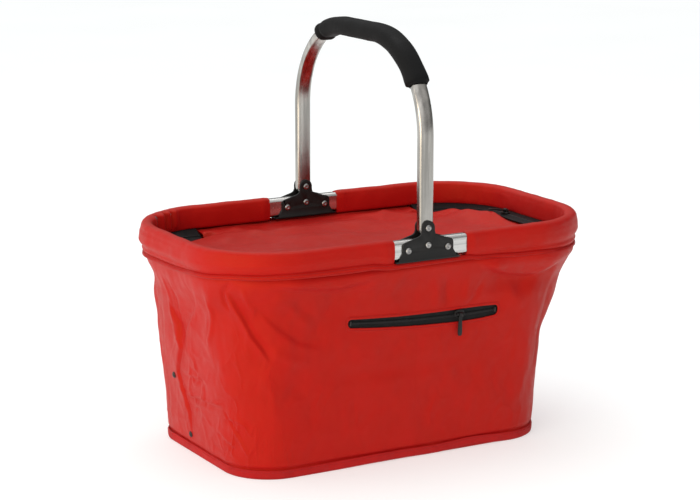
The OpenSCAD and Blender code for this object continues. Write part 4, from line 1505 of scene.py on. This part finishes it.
def make_grip():
    """Foam sleeve: matte, pinched at the rear end, with open rounded mouths."""
    start = -(BEND_Y + BEND * GRIP_FRONT)
    end = BEND_Y + BEND * GRIP_REAR
    lip = 3.2
    stations = []
    for t in np.linspace(start + lip, end - lip, 110):
        near = bump(t, start + 7, 5) * 0.3 - 0.3 * bump(t, start + 26, 12)
        pinch = -1.3 * bump(t, end - 11, 2.6) + 0.3 * bump(t, end - 5, 3)
        stations.append((t, near + pinch + 0.25 * noise.noise(Vector((t / 18, 3, 1)))))
    rounds = [(0.0, 0.0), (0.35, 0.08), (0.7, 0.3), (0.93, 0.65), (1.0, 1.0)]
    rows = []

    def section(t, grow, hollow):
        p, out = arch(t)
        w, h = ((HANDLE_W + 1.2, HANDLE_T + 1.2) if hollow
                else (GRIP_W + 2 * grow, GRIP_T + 2 * grow))
        r = 4.6 if hollow else 9.5 + grow * 0.5
        loop = []
        for k in range(48):
            a = 2 * math.pi * k / 48
            cx, cy = (w / 2 - r) * np.sign(round(math.cos(a), 6)), (h / 2 - r) * np.sign(
                round(math.sin(a), 6))
            x, y = cx + r * math.cos(a), cy + r * math.sin(a)
            if not hollow:
                y -= bump(t, end - 11, 2.4) * max(0, math.sin(a)) * 1.8
            loop.append(p + np.array([x, 0, 0]) + out * y)
        return loop

    rows.append(section(start + 12, 0, True))
    rows.append(section(start + lip * 0.4, 0, True))
    for share, lift in rounds[:-1]:
        rows.append(section(start + lip * share ** 2 * 0.9, -2.6 * (1 - lift), False))
    for t, grow in stations:
        rows.append(section(t, grow, False))
    for share, lift in reversed(rounds[:-1]):
        rows.append(section(end - lip * share ** 2 * 0.9, -2.6 * (1 - lift), False))
    rows.append(section(end - lip * 0.4, 0, True))
    for t in np.linspace(end - 12, start + 12, 40)[:-1]:
        rows.append(section(t, 0, True))
    points = np.array(rows)
    n, k = points.shape[:2]
    faces = [(r * k + i, r * k + (i + 1) % k, (r + 1) % n * k + (i + 1) % k, (r + 1) % n * k + i)
             for r in range(n) for i in range(k)]
    grip = new_object("grip_foam", points.reshape(-1, 3), faces, FOAM)
    mesh = bmesh.new()
    mesh.from_mesh(grip.data)
    bmesh.ops.recalc_face_normals(mesh, faces=mesh.faces)
    mesh.to_mesh(grip.data)
    mesh.free()
    finish(grip, "handle", "foam", "foam_grip")


# ---------------------------------------------------------------- the object

wall = make_wall()
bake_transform(wall)
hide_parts("lower_wall", "upper_wall")

make_sleeve("sleeve_right", rim_place(FRONT_RIGHT), rim_place(REAR_RIGHT, rear=True))
make_sleeve("sleeve_left", rim_place(REAR_LEFT, rear=True), rim_place(FRONT_LEFT))
make_band()
seam_stitches("band_stitches_upper", 1.2, 6.15)
seam_stitches("band_stitches_lower", 4.3, 6.5)

make_lid()
tape_strip("lid_zip_tape_rim", -6.6, -ZIP_IN + 0.4, "rim", "lid_tape_outer")
tape_strip("lid_zip_tape_lid", -ZIP_IN - 0.4, -TAPE_TO, "lid", "lid_tape_inner")
lid_coil("lid_zip_coil_rim", 1, "rim", "lid_coil_outer")
lid_coil("lid_zip_coil_lid", -1, "lid", "lid_coil_inner")

make_pocket()
make_pocket_bag()
make_sliders()
make_binding()
make_base()
make_studs()
make_rivets()
make_handle()
make_grip()
for place in ("front", "rear"):
    for face in ("outer", "inner"):
        refined(f"hinge_plate_{place}_{face}", f"plate_{place}_{face}", PLATE, "rim", "black_plate")

for node in ("rim_tube_left", "rim_tube_right", "rim_joiner_front", "rim_joiner_rear"):
    repaint(node, RIM_ALUMINIUM)
for node, material in (("leg_end_plugs", PLUG), ("base_board", BOARD), ("pocket_zip_stops", STUD)):
    repaint(node, material)


# ---------------------------------------------------------------- floor, light and camera


def make_floor():
    """White floor, a little luminous so that it stays near white in the shade."""
    m = Shader("floor", 0.9)
    at = m.place("Object")
    cloudy = m.noise(at, 3, 3)
    m.connect(Base_Color=m.ramp(cloudy, 0.2, 0.8, (0.58, 0.60, 0.60, 1), (0.62, 0.64, 0.64, 1)))
    m.set(Emission_Color=grey(1), Emission_Strength=0.42)
    bpy.ops.mesh.primitive_plane_add(size=40)
    floor = bpy.context.object
    floor.name = "floor"
    floor.data.materials.append(m.material)


def area_light(name, at, towards, size, power, colour=(1, 1, 1)):
    """Rectangular light; places and sizes in metres, power in watts."""
    data = bpy.data.lights.new(name, "AREA")
    data.shape = "RECTANGLE"
    data.size, data.size_y = size
    data.energy, data.color = power, colour
    light = bpy.data.objects.new(name, data)
    light.location = at
    light.rotation_euler = (Vector(towards) - Vector(at)).to_track_quat("-Z", "Y").to_euler()
    bpy.context.scene.collection.objects.link(light)


def make_world(bright=1.17, dim=0.12, towards=(-0.74, -0.14, 0.66)):
    """Soft studio surround: bright from above, the left and behind, dim in front on the right."""
    world = bpy.data.worlds.new("studio")
    world.use_nodes = True
    nodes, links = world.node_tree.nodes, world.node_tree.links
    background = next(n for n in nodes if n.type == "BACKGROUND")
    direction = nodes.new("ShaderNodeTexCoord")
    lean = nodes.new("ShaderNodeVectorMath")
    lean.operation = "DOT_PRODUCT"
    lean.inputs[1].default_value = towards
    level = nodes.new("ShaderNodeMapRange")
    level.interpolation_type = "SMOOTHSTEP"
    for socket, value in (("From Min", -0.6), ("From Max", 0.75), ("To Min", dim),
                          ("To Max", bright)):
        level.inputs[socket].default_value = value
    links.new(direction.outputs["Generated"], lean.inputs[0])
    links.new(lean.outputs["Value"], level.inputs["Value"])
    links.new(level.outputs["Result"], background.inputs["Strength"])
    background.inputs["Color"].default_value = grey(1)
    bpy.context.scene.world = world
    bpy.context.scene.view_settings.view_transform = "Standard"


def make_camera():
    """The photograph's view: low, from the front left, with a long lens."""
    target = Vector((-0.0108, 0.0061, 0.2109))
    azimuth, elevation, distance = math.radians(-29.45), math.radians(12.3), 2.5
    level = math.cos(elevation)
    back = Vector((math.sin(azimuth) * level, -math.cos(azimuth) * level, math.sin(elevation)))
    data = bpy.data.cameras.new("camera")
    data.lens = 113.75
    data.clip_end = 100
    camera = bpy.data.objects.new("camera", data)
    camera.location = target + back * distance
    camera.rotation_euler = (-back).to_track_quat("-Z", "Y").to_euler()
    bpy.context.scene.collection.objects.link(camera)
    bpy.context.scene.camera = camera


make_floor()
make_world()
area_light("key", (-1.75, -0.7, 0.42), (-0.2, 0, 0.13), (1.7, 0.8), 15, (1.0, 0.84, 0.62))
area_light("top", (0.3, 0.6, 2.2), (0, 0, 0.2), (1.6, 1.6), 12)
make_camera()
